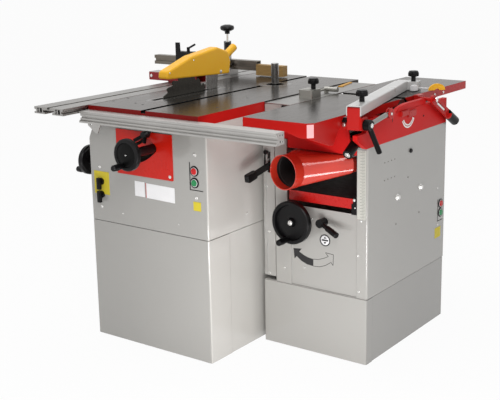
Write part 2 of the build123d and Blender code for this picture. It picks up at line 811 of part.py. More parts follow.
def tilt_point(dx, dz, angle):
    """Where a point of the saw unit stands after a tilt, as (x, z)."""
    turn = radians(angle)
    return (BLADE_X + dx * cos(turn) + dz * sin(turn), TABLE_Z - dx * sin(turn) + dz * cos(turn))


def control_plate():
    """The front plate with the two curved slots that the tilting parts run in."""
    corners = [(PLATE_X0, PLATE_Z0), (PLATE_X1, PLATE_Z0), (PLATE_X1, PLATE_Z1), (PLATE_X0, PLATE_Z1)]
    plate = prism_y(corners, SAW_F - PLATE_T, SAW_F, PLATE_R)
    plane = Plane((0, SAW_F + OVER, 0), x_dir=(1, 0, 0), z_dir=(0, -1, 0))
    for dx, dz, r in ((SLEEVE_DX, SLEEVE_DZ, SLEEVE_R), (LOCK_DX, LOCK_DZ, LOCK_STUD_R)):
        stops = [tilt_point(dx, dz, TILT_MAX * k / 2) for k in range(3)]
        slot = SlotArc(ThreePointArc(*stops), 2 * (r + OVER))
        plate -= extrude(plane * slot, amount=PLATE_T + 2 * OVER)
    return plate


def half_ring(outer, inner, y0, y1):
    """The part below the table of a ring about the tilt axis."""
    ring = rod_y(outer, y0, y1, BLADE_X, TABLE_Z) - rod_y(inner, y0 - OVER, y1 + OVER, BLADE_X, TABLE_Z)
    reach = 2 * outer
    return ring - block(BLADE_X - reach, BLADE_X + reach, y0 - OVER, y1 + OVER, UNDER_Z, TABLE_Z + reach)


def trunnions():
    rings = []
    for y in (TRUNNION_FRONT, TRUNNION_REAR):
        rings.append(half_ring(TRUNNION_R + TRUNNION_RING, TRUNNION_R, y, y + TRUNNION_T))
    return Compound(rings)


def sector(r, y0, y1):
    """The turning half-moon inside a trunnion: it stays under the table over the whole tilt."""
    disc = rod_y(r, y0, y1, BLADE_X, TABLE_Z)
    drop = TABLE_T + 2 * OVER
    tilt = radians(TILT_MAX)
    x = BLADE_X + drop * tan(tilt / 2)
    z = TABLE_Z - drop
    reach = 3 * r
    corner = (x + reach - reach * cos(tilt), z - reach * sin(tilt) - reach)
    wedge = [(x, z), (x - reach * cos(tilt), z - reach * sin(tilt)), corner, (x + reach, z - reach),
             (x + reach, z)]
    return disc & prism_y(wedge, y0 - OVER, y1 + OVER)


def rod_ys():
    return (BLADE_Y - ROD_DY, BLADE_Y + ROD_DY)


def tilt_cradle():
    """Two half-moons, their hangers, a lower beam, a top bar, guide rods and the wheel's sleeve."""
    front = TRUNNION_FRONT + TRUNNION_T + TURN_GAP
    rear = TRUNNION_REAR - TURN_GAP
    top = TOP_BAR_Z + TOP_BAR_T
    body = block(ROD_X - BEAM_HALF, ROD_X + BEAM_HALF, front, rear, BEAM_Z0, BEAM_Z1)
    body += block(ROD_X - TOP_BAR_HALF, ROD_X + TOP_BAR_HALF, front, rear, TOP_BAR_Z, top)
    left = BLADE_X + HANGER_LEFT
    right = SLEEVE_X + SLEEVE_R + HANGER_RIGHT
    lock = LOCK_X + SLEEVE_R
    hanger = [(left, TABLE_Z - HANGER_HIGH), (left + HANGER_SLOPE, top), (lock, top),
              (lock, LOCK_Z - HANGER_STEP), (right, SLEEVE_Z + CHEEK_UP), (right, SLEEVE_Z - CHEEK_DOWN),
              (ROD_X + BEAM_HALF, BEAM_Z0), (ROD_X - BEAM_HALF, BEAM_Z0), (left, TABLE_Z - HANGER_LOW)]
    for y0, moon in ((front, TRUNNION_FRONT), (rear - HANGER_T, TRUNNION_REAR - OVER)):
        body += prism_y(hanger, y0, y0 + HANGER_T)
        body += sector(TRUNNION_R - TURN_GAP, moon, moon + TRUNNION_T + OVER)
    for y in rod_ys():
        body += rod_z(ROD_R, BEAM_Z0 + OVER, TOP_BAR_Z + 2 * OVER, ROD_X, y)
    inside = front + HANGER_T + OVER
    body += rod_y(SLEEVE_R, SAW_WHEEL_Y + WHEEL_DEPTH + 2 * OVER, front + OVER, SLEEVE_X, SLEEVE_Z)
    body -= rod_y(WHEEL_SHAFT_R + RUN_GAP, SAW_WHEEL_Y, inside, SLEEVE_X, SLEEVE_Z)
    return body - rod_y(LOCK_STUD_R + RUN_GAP, front - OVER, inside, LOCK_X, LOCK_Z)


def saw_handwheel():
    shaft_l = TRUNNION_FRONT + TRUNNION_T - SAW_WHEEL_Y
    wheel = handwheel(SAW_WHEEL_R, WHEEL_DEPTH, shaft_l, SAW_GRIP_L, SAW_GRIP_TURN)
    return Pos(SLEEVE_X, SAW_WHEEL_Y, SLEEVE_Z) * Rot(90, 0, 0) * wheel


def tilt_lock_lever():
    """A three-armed clamping handle on a stud through the control plate's upper slot."""
    y = SAW_F - PLATE_T - SEAT_GAP
    hub_r = 12.0
    hub_l = 24.0
    stud_end = TRUNNION_FRONT + TRUNNION_T + HANGER_T
    lever = rod_y(hub_r, y - hub_l, y, LOCK_X, LOCK_Z)
    lever += rod_y(LOCK_STUD_R, y - OVER, stud_end, LOCK_X, LOCK_Z)
    for angle, reach in LOCK_ARMS:
        turn = radians(angle)
        end = (LOCK_X + reach * cos(turn), y - 1.3 * hub_l, LOCK_Z + reach * sin(turn))
        lever += between(0.55 * hub_r, (LOCK_X, y - hub_l / 2, LOCK_Z), end)
    return lever


def saw_carriage():
    """Carriage block on two guide rods with the arbor housing and the arms for motor and knife."""
    front, rear = rod_ys()
    y0 = front - CARRIAGE_END
    y1 = rear + CARRIAGE_END
    low = BLADE_Z - CARRIAGE_LOW
    body = block(ROD_X - CARRIAGE_HALF, ROD_X + CARRIAGE_HALF, y0, y1, low, BLADE_Z + CARRIAGE_TOP)
    housing_x = BLADE_X + FLANGE_T + HOUSING_FRONT
    body += rod_x(HOUSING_R, housing_x, ARBOR_PULLEY_X - HOUSING_BACK, BLADE_Y, BLADE_Z)
    motor_z = BLADE_Z - SAW_MOTOR_DROP
    arm_y0 = BLADE_Y + PULLEY_R + BELT_T + MOTOR_ARM_GAP
    arm_y1 = arm_y0 + MOTOR_ARM_T
    arm_top = BLADE_Z - MOTOR_ARM_HIGH
    body += block(ROD_X + MOTOR_ARM_ROOT, SAW_MOTOR_X, arm_y0, arm_y1, low, arm_top)
    body += block(ROD_X + MOTOR_ARM_DROP_X, SAW_MOTOR_X, arm_y0, arm_y1, motor_z - MOTOR_ARM_LOW, arm_top)
    knife_low = BLADE_Z - KNIFE_ARM_LOW
    knife_top = BLADE_Z + KNIFE_ARM_HIGH
    knife_y0 = KNIFE_Y0 + KNIFE_SEAT
    knife_y1 = KNIFE_Y1 - KNIFE_SEAT
    body += block(BLADE_X + KNIFE_T / 2, ROD_X, knife_y0, knife_y1, knife_low, knife_top)
    body += block(ROD_X - KNIFE_ARM_HALF, ROD_X + KNIFE_ARM_HALF, y1 - KNIFE_SEAT, knife_y1, knife_low,
                  knife_top)
    for y in (front, rear):
        body -= rod_z(ROD_R + RUN_GAP, BLADE_Z - BLADE_R, BLADE_Z + BLADE_R, ROD_X, y)
    body -= rod_x(ARBOR_R + RUN_GAP, BLADE_X, SAW_MOTOR_X, BLADE_Y, BLADE_Z)
    pulley_end = ARBOR_PULLEY_X + BELT_W
    motor = rod_x(SAW_MOTOR_R, SAW_MOTOR_X, SAW_MOTOR_X1, BLADE_Y, motor_z)
    motor += rod_x(MOTOR_SHAFT_R, ARBOR_PULLEY_X, SAW_MOTOR_X + OVER, BLADE_Y, motor_z)
    motor += rod_x(PULLEY_R, ARBOR_PULLEY_X, pulley_end, BLADE_Y, motor_z)
    belt = belt_x(ARBOR_PULLEY_X + OVER, pulley_end - OVER, (BLADE_Y, BLADE_Z), PULLEY_R,
                  (BLADE_Y, motor_z), PULLEY_R)
    return Compound([body, motor, belt])


def saw_arbor():
    """The arbor with its pulley, the blade's two flanges and the nut."""
    pulley_end = ARBOR_PULLEY_X + BELT_W
    shaft = rod_x(ARBOR_R, BLADE_X - FLANGE_T - NUT_L, pulley_end, BLADE_Y, BLADE_Z)
    shaft += rod_x(PULLEY_R, ARBOR_PULLEY_X, pulley_end, BLADE_Y, BLADE_Z)
    shaft += rod_x(FLANGE_R, BLADE_X + BLADE_T / 2, BLADE_X + FLANGE_T, BLADE_Y, BLADE_Z)
    return shaft + rod_x(FLANGE_R, BLADE_X - FLANGE_T, BLADE_X - BLADE_T / 2, BLADE_Y, BLADE_Z)


def saw_blade():
    """A disc with raked teeth and deep gullets, bored for the arbor."""
    rim = []
    pitch = 360 / BLADE_TEETH
    root = BLADE_R - GULLET
    for k in range(BLADE_TEETH):
        for r, part in ((BLADE_R, 0.0), (BLADE_R - TOOTH_DROP, 0.3), (root, 0.85), (root, 0.95)):
            turn = radians(pitch * (k + part))
            rim.append((BLADE_Y - r * cos(turn), BLADE_Z + r * sin(turn)))
    disc = prism_x(rim, BLADE_X - BLADE_T / 2, BLADE_X + BLADE_T / 2)
    return disc - rod_x(ARBOR_R + RUN_GAP, BLADE_X - BLADE_T, BLADE_X + BLADE_T, BLADE_Y, BLADE_Z)


def riving_knife():
    """A plate behind the blade whose front edge follows the blade's rim."""
    low = BLADE_Z - 44
    top = TABLE_Z + KNIFE_TOP
    front = 30.0
    shape = [(KNIFE_Y0 - 6, low), (KNIFE_Y1, low), (KNIFE_Y1 - 4, TABLE_Z), (KNIFE_Y1 + 4, top - 4),
             (KNIFE_Y1 - 20, top), (front, top), (front, TABLE_Z), (KNIFE_Y0 - 6, BLADE_Z)]
    x0 = BLADE_X - KNIFE_T / 2
    x1 = BLADE_X + KNIFE_T / 2
    plate = prism_x(shape, x0, x1)
    plate -= rod_x(BLADE_R + KNIFE_GAP, x0 - OVER, x1 + OVER, BLADE_Y, BLADE_Z)
    bore = GUARD_BOLT_R + 2 * RUN_GAP
    return plate - rod_x(bore, x0 - OVER, x1 + OVER, GUARD_BOLT_Y, GUARD_BOLT_Z)


def guard_form(inset):
    """The guard's rounded form, set in from its outer faces."""
    points = [GUARD_FRONT, GUARD_TAIL, GUARD_HEEL, GUARD_BACK, GUARD_CREST, GUARD_RISE, GUARD_NOSE]
    half = GUARD_W / 2 - inset
    face = outline(points, GUARD_BEND)
    if inset:
        face = offset(face, -inset)
    form = extrude(side_plane(BLADE_X - half) * face, amount=2 * half)
    sides = form.faces().sort_by(Axis.X)
    edges = [e for f in (sides[0], sides[-1]) for e in f.edges() if e.center().Z > GUARD_BOLT_Z + 20]
    return fillet(edges, GUARD_ROUND - inset)


def blade_guard():
    """A moulded hood with rounded shoulders, open below, with a hose spout and its cross bolt."""
    half = GUARD_W / 2
    root = Vector(BLADE_X, *SPOUT_ROOT)
    end = Vector(BLADE_X, *SPOUT_END)
    run = (end - root).normalized()
    hollow = guard_form(GUARD_WALL)
    hood = guard_form(0) + between(SPOUT_R, root, end)
    hood -= hollow
    hood -= Pos(0, 0, -2 * GUARD_WALL) * hollow
    hood -= between(SPOUT_R - SPOUT_WALL, root - run * SPOUT_R, end + run * SPOUT_R)
    return hood + rod_x(GUARD_BOLT_R, BLADE_X - half, BLADE_X + half, GUARD_BOLT_Y, GUARD_BOLT_Z)


def spindle_guide():
    """The quill's guide tube with its flange bolted under the table."""
    outer = QUILL_R + QUILL_WALL
    wall = QUILL_WALL
    body = rod_z(outer, GUIDE_BOTTOM, UNDER_Z, SPINDLE_X, SPINDLE_Y)
    body += rod_z(outer + GUIDE_FLANGE, UNDER_Z - wall, UNDER_Z, SPINDLE_X, SPINDLE_Y)
    body += block(SPINDLE_X - outer - GUIDE_RIB_L, SPINDLE_X - outer + wall / 2, SPINDLE_Y - wall / 2,
                  SPINDLE_Y + wall / 2, GUIDE_RIB_Z, UNDER_Z)
    return body - rod_z(QUILL_R + RUN_GAP, GUIDE_BOTTOM - OVER, UNDER_Z + OVER, SPINDLE_X, SPINDLE_Y)


def spindle_quill():
    body = rod_z(QUILL_R, QUILL_BOTTOM, QUILL_TOP, SPINDLE_X, SPINDLE_Y)
    return body - rod_z(SPINDLE_R + RUN_GAP, QUILL_BOTTOM - OVER, QUILL_TOP + OVER, SPINDLE_X, SPINDLE_Y)


def spindle_shaft():
    """The spindle with its collar above the quill and its pulley below."""
    shaft = rod_z(SPINDLE_R, SPINDLE_BOTTOM, SPINDLE_TOP, SPINDLE_X, SPINDLE_Y)
    shaft = chamfer(shaft.edges().sort_by(Axis.Z)[-1], 1.5)
    collar = QUILL_TOP + SEAT_GAP
    shaft += rod_z(COLLAR_R, collar, collar + COLLAR_H, SPINDLE_X, SPINDLE_Y)
    pulley_top = SPINDLE_BOTTOM + SPINDLE_PULLEY_H
    return shaft + rod_z(SPINDLE_PULLEY_R, SPINDLE_BOTTOM, pulley_top, SPINDLE_X, SPINDLE_Y)


def spindle_handwheel():
    wheel = handwheel(SIDE_WHEEL_R, WHEEL_DEPTH, SIDE_SHAFT_L, SIDE_GRIP_L, SIDE_GRIP_TURN)
    return Pos(SIDE_WHEEL_X, SIDE_WHEEL_Y, SIDE_WHEEL_Z) * Rot(0, -90, 0) * Rot(0, 0, 90) * wheel


def push_button():
    """A flat push button facing +Z, with its edge proud of the panel."""
    top = BUTTON_PROUD
    return turned([(0, -BUTTON_DEPTH), (BUTTON_R, -BUTTON_DEPTH), (BUTTON_R, top - 1), (BUTTON_R - 1, top),
                   (0, top)])


def saw_button(z):
    return Pos(BUTTON_X, SAW_F, z) * Rot(90, 0, 0) * push_button()


def planer_button(z):
    return Pos(PL_X1, PLANER_BUTTON_Y, z) * Rot(0, 90, 0) * push_button()


def selector(z):
    """A rotary switch knob with a finger bar, on a stud through the front panel."""
    y = SAW_F - SEAT_GAP
    half = 5.0
    disc = rod_y(SELECTOR_R, y - SELECTOR_H, y, SELECTOR_X, z)
    bar = block(SELECTOR_X - half, SELECTOR_X + half, y - SELECTOR_BAR, y - SELECTOR_H + OVER,
                z - SELECTOR_R - half, z + SELECTOR_R)
    return disc + bar + rod_y(LOCK_STUD_R, y, SAW_F + 4 * SHEET, SELECTOR_X, z)


def slide_rail():
    """The fixed guide: a mushroom head in the slider's groove, a web and a flange on the table."""
    y0 = TABLE_Y0 + GUIDE_INSET
    y1 = y0 + GUIDE_L
    c = SLIDER_MID
    g = SLIDE_GAP
    z = SLIDER_Z + HEAD_Z
    head = block(c - HEAD_W / 2 + g, c + HEAD_W / 2 - g, y0, y1, z + g, z + HEAD_H - g)
    neck = block(c - NECK_W / 2 + g, c + NECK_W / 2 - g, y0, y1, RIM_Z, z + OVER)
    foot = block(c - NECK_W / 2 + g, TABLE_X0, y0, y1, RIM_Z, SLIDER_Z - BLOCK_CLEAR)
    return head + neck + foot


def sliding_table():
    """A flat extrusion with a T-slot on top, side grooves, chambers and the guide groove below."""
    y0 = SLIDER_FRONT
    y1 = y0 + SLIDER_L
    body = block(SLIDER_X0, SLIDER_X1, y0, y1, SLIDER_Z, TABLE_Z)
    c = SLIDER_MID
    a = y0 - OVER
    b = y1 + OVER
    z = SLIDER_Z + HEAD_Z
    body -= block(c - HEAD_W / 2, c + HEAD_W / 2, a, b, z, z + HEAD_H)
    body -= block(c - NECK_W / 2, c + NECK_W / 2, a, b, SLIDER_Z - OVER, z + OVER)
    body -= block(c - SLOT_W / 2, c + SLOT_W / 2, a, b, TABLE_Z - SLOT_DEPTH, TABLE_Z + OVER)
    mid = (SLIDER_Z + TABLE_Z) / 2
    wall = 4.0
    for side, edge in ((1, SLIDER_X0), (-1, SLIDER_X1)):
        deep = edge + side * SIDE_GROOVE
        body -= prism_y([(edge, mid + 4), (deep, mid + 1), (deep, mid - 3), (edge, mid - 6)], a, b)
        ends = sorted((edge + side * CHAMBER_IN, edge + side * CHAMBER_OUT))
        body -= block(ends[0], ends[1], a, b, SLIDER_Z + wall, TABLE_Z - wall)
    return body


def crosscut_bar():
    """A square tube across the slider with a closed left end, on a foot."""
    x0 = BAR_X1 - BAR_L
    z0 = TABLE_Z + BAR_LIFT
    z1 = z0 + BAR_H
    w = BAR_WALL
    tube = block(x0, BAR_X1, BAR_Y, BAR_Y + BAR_D, z0, z1)
    tube = fillet(tube.edges().filter_by(Axis.X), w + OVER)
    tube -= block(x0 + w, BAR_X1 + OVER, BAR_Y + w, BAR_Y + BAR_D - w, z0 + w, z1 - w)
    margin = 8.0
    return tube + block(SLIDER_X0 + margin, SLIDER_X1 - margin, BAR_Y + margin, BAR_Y + BAR_D - margin,
                        TABLE_Z, z0 + OVER)


def crosscut_fence():
    """An extruded fence with a grooved face on each side."""
    y0 = FENCE_Y
    y1 = y0 + FENCE_D
    z0 = FENCE_Z
    z1 = FENCE_TOP
    d = FENCE_GROOVE_D
    low = (z0 + z1 - FENCE_GROOVE_W) / 2
    high = low + FENCE_GROOVE_W
    shape = [(y0, z0), (y1, z0), (y1, low), (y1 - d, low), (y1 - d, high), (y1, high), (y1, z1),
             (y0, z1), (y0, high), (y0 + d, high), (y0 + d, low), (y0, low)]
    body = prism_x(shape, FENCE_X0, FENCE_X1)
    w = 4.0
    for a, b in ((z0 + w, low - w), (high + w, z1 - w)):
        body -= block(FENCE_X0 - OVER, FENCE_X1 + OVER, y0 + w, y1 - w, a, b)
    return body


def fence_block():
    y0 = FENCE_Y - BLOCK_PROUD
    z0 = TABLE_Z + BLOCK_CLEAR
    return block(FENCE_X1, FENCE_X1 + BLOCK_L, y0, y0 + FENCE_D, z0, FENCE_TOP - BLOCK_STEP)


def hold_down_post():
    """The post that clamps to slider and fence and carries the hold-down screw in its arm."""
    x0 = HOLD_POST_X - HOLD_FOOT_HALF
    x1 = HOLD_POST_X + HOLD_FOOT_HALF
    back = FENCE_Y + FENCE_D
    half = HOLD_POST_HALF
    body = block(x0, x1, FENCE_Y - HOLD_FOOT_D, FENCE_Y, TABLE_Z, TABLE_Z + HOLD_FOOT_H)
    body += block(x0, x1, FENCE_Y - OVER, back, TABLE_Z, FENCE_Z)
    body += block(HOLD_POST_X - half, HOLD_POST_X + half, FENCE_Y - 2 * half, FENCE_Y, TABLE_Z, HOLD_ARM_Z1)
    root = (HOLD_POST_X, FENCE_Y - HOLD_ARM_R)
    arm = Plane.XY.offset(HOLD_ARM_Z0) * SlotArc(Line((HOLD_X, HOLD_Y), root), 2 * HOLD_ARM_R)
    body += extrude(arm, amount=HOLD_ARM_Z1 - HOLD_ARM_Z0)
    return body - rod_z(HOLD_R + RUN_GAP, HOLD_ARM_Z0 - OVER, HOLD_ARM_Z1 + OVER, HOLD_X, HOLD_Y)


def hold_down_screw():
    """The hold-down's round knob, its rod and its pressing foot."""
    r = HOLD_KNOB_R
    h = HOLD_KNOB_H
    knob = turned([(0, 0), (0.34 * r, 0), (0.36 * r, 0.25 * h), (0.9 * r, 0.45 * h), (r, 0.65 * h),
                   (0.9 * r, 0.87 * h), (0.42 * r, h), (0, h)])
    pad_top = HOLD_PAD_Z + HOLD_PAD_H
    rod = rod_z(HOLD_R, pad_top - OVER, HOLD_KNOB_Z + OVER, HOLD_X, HOLD_Y)
    pad = rod_z(HOLD_PAD_R, HOLD_PAD_Z, pad_top, HOLD_X, HOLD_Y)
    return Pos(HOLD_X, HOLD_Y, HOLD_KNOB_Z) * knob + rod + pad


def fence_stop():
    """A length stop that sits over the fence's top, with a thin post and a small clamp handle."""
    z = FENCE_TOP + SEAT_GAP
    front = FENCE_Y - STOP_FRONT
    right = STOP_X + STOP_POST_W
    body = block(STOP_X, STOP_X + STOP_L, front, FENCE_Y + FENCE_D - FENCE_GROOVE_D, z, z + STOP_BODY_H)
    post = [(STOP_X, z), (right + 3, z), (right, z + STOP_POST_H), (STOP_X, z + STOP_POST_H)]
    body += prism_y(post, front, front + STOP_FRONT + OVER)
    body += block(STOP_X, STOP_X + 0.6 * STOP_L, front, FENCE_Y - SEAT_GAP, z - FENCE_H / 2, z + OVER)
    x = STOP_X + STOP_HANDLE_DX
    y = FENCE_Y + FENCE_D / 3
    top = z + STOP_BODY_H
    body += rod_z(7.0, top - OVER, top + 19, x, y)
    return body + between(4.5, (x, y, top + 14), (x + 44, y - 8, top + 33))


def planer_base():
    """The planer's plinth with the lifting column's guide tube and the motor's tray."""
    shell = cabinet_shell(BASE_X0, PL_X1, PL_FRONT - BASE_PROUD, PL_BACK, BASE_H, BASE_WRAP)
    lap = JOGGLE + SHEET - OVER
    x0 = BASE_X0 + lap
    x1 = PL_X1 - lap
    shell += block(x0, x1, COLUMN_Y - MEMBER_HALF, COLUMN_Y + MEMBER_HALF, MEMBER_Z, MEMBER_Z + MEMBER_T)
    top = BASE_H + COLUMN_TUBE_H
    shell += rod_z(COLUMN_R + COLUMN_TUBE, MEMBER_Z, top, COLUMN_X, COLUMN_Y)
    tray = MOTOR_Z - MOTOR_R - MOTOR_FOOT_DROP
    shell += block(x0, x1, MOTOR_Y - TRAY_HALF, MOTOR_Y + TRAY_HALF, tray - TRAY_T, tray)
    return shell - rod_z(COLUMN_R + RUN_GAP, MEMBER_Z - OVER, top + OVER, COLUMN_X, COLUMN_Y)


def planer_cabinet():
    """Folded side panels with front and back returns around the thicknessing tunnel."""
    t = SHEET
    z0 = BASE_H
    z1 = GREY_TOP
    f = TOP_FLANGE
    front = PL_FRONT + PANEL_STEP
    top = z1 + OVER
    x0 = PL_X0 + RETURN_L
    x1 = PL_X1 - RETURN_R
    shell = block(PL_X0, PL_X1, PL_FRONT, PL_BACK, z0, z1)
    shell = fillet(shell.edges().filter_by(Axis.Z).sort_by(Axis.Y)[:2], CORNER_R)
    shell -= block(x0 + STEP_IN, x1, PL_FRONT - OVER, front, z0 - OVER, top)
    shell -= block(PL_X0 + t, PL_X1 - t, front + t, PL_BACK - t, z0 + t, top)
    shell -= block(PL_X0 + f, PL_X1 - f, PL_FRONT + f, PL_BACK - f, z0 - OVER, z0 + t + OVER)
    for y0, y1 in ((PL_FRONT - OVER, PL_FRONT + 4 * t), (PL_BACK - 4 * t, PL_BACK + OVER)):
        shell -= block(x0, x1, y0, y1, TUNNEL_Z, top)
    runner = RUNNER_Z - SEAT_GAP
    for a, b in ((PL_X0 + OVER, HOOD_X0 - RUNNER_GAP), (HOOD_X1 + RUNNER_GAP, PL_X1 - OVER)):
        shell += block(a, b, RUNNER_Y, HOOD_BACK, runner - RUNNER_T, runner)
    inside = front + 2 * t
    shell -= rod_y(WHEEL_SHAFT_R + RUN_GAP, PL_FRONT - OVER, inside, THICK_WHEEL_X, THICK_WHEEL_Z)
    shell -= rod_y(LOCK_STUD_R + RUN_GAP, PL_FRONT - OVER, inside, CLAMP_X, CLAMP_Z)
    for z in (PLANER_STOP_Z, PLANER_START_Z):
        shell -= rod_x(BUTTON_R + SEAT_GAP, PL_X1 - t - OVER, PL_X1 + OVER, PLANER_BUTTON_Y, z)
    return shell


def hinge_fork(y):
    """The fixed ears on the left side plate and the pin through them."""
    y0 = y - EAR_T
    y1 = y + EYE_L + EAR_T
    root = PL_X0 + 2 * OVER
    fork = block(PL_X0, PL_X0 + SIDE_T, y0, y1, GREY_TOP, HINGE_Z - FORK_DROP)
    tip = [(HINGE_X + dx, HINGE_Z + dz) for dx, dz in HINGE_EAR]
    ear = [(root, HINGE_Z - EAR_ROOT_LOW), *tip, (root, HINGE_Z - EAR_ROOT_HIGH)]
    for side in (y0, y + EYE_L + SEAT_GAP):
        fork += prism_y(ear, side, side + EAR_T - SEAT_GAP)
    return fork + rod_y(HINGE_R, y0, y1, HINGE_X, HINGE_Z)


def bearing_boss(x0, x1):
    """The boss around the cutterhead's bearing on a side plate's inner face."""
    boss = rod_x(BOSS_R, x0, x1, CUTTER_Y, CUTTER_Z - LEDGE)
    reach = 2 * BOSS_R
    return boss - block(x0 - OVER, x1 + OVER, CUTTER_Y - reach, CUTTER_Y + reach, SIDE_TOP, SIDE_TOP + reach)


def left_side_plate():
    shape = [(PL_FRONT, GREY_TOP), (PL_BACK, GREY_TOP), (PL_BACK, LEFT_LOW), (CUTTER_Y + 40, SIDE_TOP),
             (CUTTER_Y - 40, SIDE_TOP), (PL_FRONT, LEFT_LOW)]
    x1 = PL_X0 + SIDE_T
    plate = prism_x(shape, PL_X0, x1) + bearing_boss(x1, x1 + BOSS_L)
    for y in HINGE_YS + CARRIER_YS:
        plate += hinge_fork(y)
    return plate


def right_side_plate():
    shape = [(SIDE_FRONT + 60, GREY_TOP), (PL_BACK, GREY_TOP), (PL_BACK, SIDE_TOP),
             (SIDE_STEP_Y + 24, SIDE_TOP), (SIDE_STEP_Y, SIDE_STEP_Z), (SIDE_FRONT, SIDE_STEP_Z),
             (SIDE_FRONT, SIDE_NOSE_Z)]
    x0 = PL_X1 - SIDE_T
    plate = prism_x(shape, x0, PL_X1) + bearing_boss(x0 - BOSS_L, x0)
    for y, top in ((REST_Y, TABLE_Z - JOINT_RIM), (CARRIER_REST_Y, CARRIER_Z0)):
        plate += block(JOINT_X1 - REST_REACH, x0 + OVER, y - REST_HALF, y + REST_HALF, top - REST_H,
                       top - SEAT_GAP)
    return plate - rod_x(PIVOT_R + RUN_GAP, x0 - OVER, PL_X1 - BLIND, *LATCH_PIVOT)


def planer_side_plates():
    """Two cast side plates with bearings, forks and rests, joined by a cross panel at the front."""
    left = PL_X0 + SIDE_T - OVER
    right = PL_X1 - SIDE_T + OVER
    inner_l = PL_X0 + RETURN_L + 2 * OVER
    inner_r = PL_X1 - RETURN_R - 2 * OVER
    sill = GREY_TOP + OVER
    panel = [(left, sill), (inner_l, sill), (inner_l, CROSS_Z0), (inner_r, CROSS_Z0), (inner_r, sill),
             (right, sill), (right, CROSS_TAB), (CROSS_X1, CROSS_TAB), (CROSS_X1 - CROSS_SLOPE, CROSS_Z1),
             (left, CROSS_Z1)]
    y0 = PL_FRONT + PANEL_STEP
    plates = left_side_plate() + right_side_plate() + prism_y(panel, y0, y0 + CROSS_T)
    x0 = PL_X0 - OVER
    x1 = PL_X1 - BLIND
    plates -= rod_x(CUTTER_SHAFT_R + RUN_GAP, x0, x1, CUTTER_Y, CUTTER_Z)
    for y in (CUTTER_Y - ROLLER_DY, CUTTER_Y + ROLLER_DY):
        plates -= rod_x(ROLLER_SHAFT_R + RUN_GAP, x0, x1, y, ROLLER_Z)
    return plates


def cutterhead():
    """A round cutter block with knife slots, its shaft and pulley, and the knives."""
    x0 = JOINT_X0 + CUTTER_END
    x1 = JOINT_X1 - CUTTER_END
    root = CUTTER_R - 14
    knife_half = 1.5
    body = rod_x(CUTTER_R - 2, x0, x1, CUTTER_Y, CUTTER_Z)
    shaft = rod_x(CUTTER_SHAFT_R, PULLEY_X, PL_X1 - 2 * BLIND, CUTTER_Y, CUTTER_Z)
    shaft += rod_x(CUTTER_PULLEY_R, PULLEY_X, PULLEY_X + BELT_W, CUTTER_Y, CUTTER_Z)
    knife = block(x0, x1, -knife_half, knife_half, root, CUTTER_R - 0.5)
    slot = block(x0 - OVER, x1 + OVER, -7, knife_half, root, 2 * CUTTER_R)
    knives = []
    for k in range(KNIVES):
        turn = Pos(0, CUTTER_Y, CUTTER_Z) * Rot(360 * k / KNIVES + 40, 0, 0)
        body -= turn * slot
        knives.append(turn * knife)
    return Compound([body + shaft] + knives)


def feed_roller(y, notches):
    """A feed roller on its shaft, serrated where it grips the rough board."""
    x0 = JOINT_X0 + CUTTER_END
    x1 = JOINT_X1 - CUTTER_END
    roller = rod_x(ROLLER_R, x0, x1, y, ROLLER_Z)
    notch = block(x0 - OVER, x1 + OVER, -2, 2, ROLLER_R - 2.5, ROLLER_R + 2)
    for k in range(notches):
        roller -= Pos(0, y, ROLLER_Z) * Rot(360 * k / notches, 0, 0) * notch
    return roller + rod_x(ROLLER_SHAFT_R, PL_X0 + OVER, PL_X1 - 2 * BLIND, y, ROLLER_Z)


def planer_table(y0, y1, side):
    """A ribbed cast table whose lip, towards +Y for side 1, thins to an edge at the cutterhead."""
    z0 = TABLE_Z - JOINT_RIM
    under = TABLE_Z - JOINT_T
    w = JOINT_WALL
    plate = block(JOINT_X0, JOINT_X1, y0, y1, z0, TABLE_Z)
    low = y0 + (w if side > 0 else LIP_CUT)
    high = y1 - (LIP_CUT if side > 0 else w)
    plate -= block(JOINT_X0 + w, JOINT_X1 - w, low, high, z0 - OVER, under)
    for k in (1, 2):
        y = low + (high - low) * k / 3
        plate += block(JOINT_X0 + w, JOINT_X1 - w, y - JOINT_RIB_T / 2, y + JOINT_RIB_T / 2, z0 + 6, under)
    lip = y1 if side > 0 else y0
    clear = CUTTER_Y - side * (ROLLER_DY + ROLLER_R + ROLLER_SWING)
    end = lip + side * OVER
    hollow = [(clear, z0 - OVER), (clear, under - 10), (lip - side * (JOINT_T + 2), under - 4),
              (end, TABLE_Z - LIP_T), (end, z0 - OVER)]
    return plate - prism_x(hollow, JOINT_X0 - OVER, JOINT_X1 + OVER)


def hinge_eye(y, top):
    """A table's hinge eye around the pin, with its web up to the underside."""
    y0 = y + SEAT_GAP
    y1 = y + EYE_L - SEAT_GAP
    web = block(HINGE_X - EYE_R + 2, HINGE_X + 26, y0, y1, HINGE_Z - 4, top)
    return web + rod_y(EYE_R, y0, y1, HINGE_X, HINGE_Z)


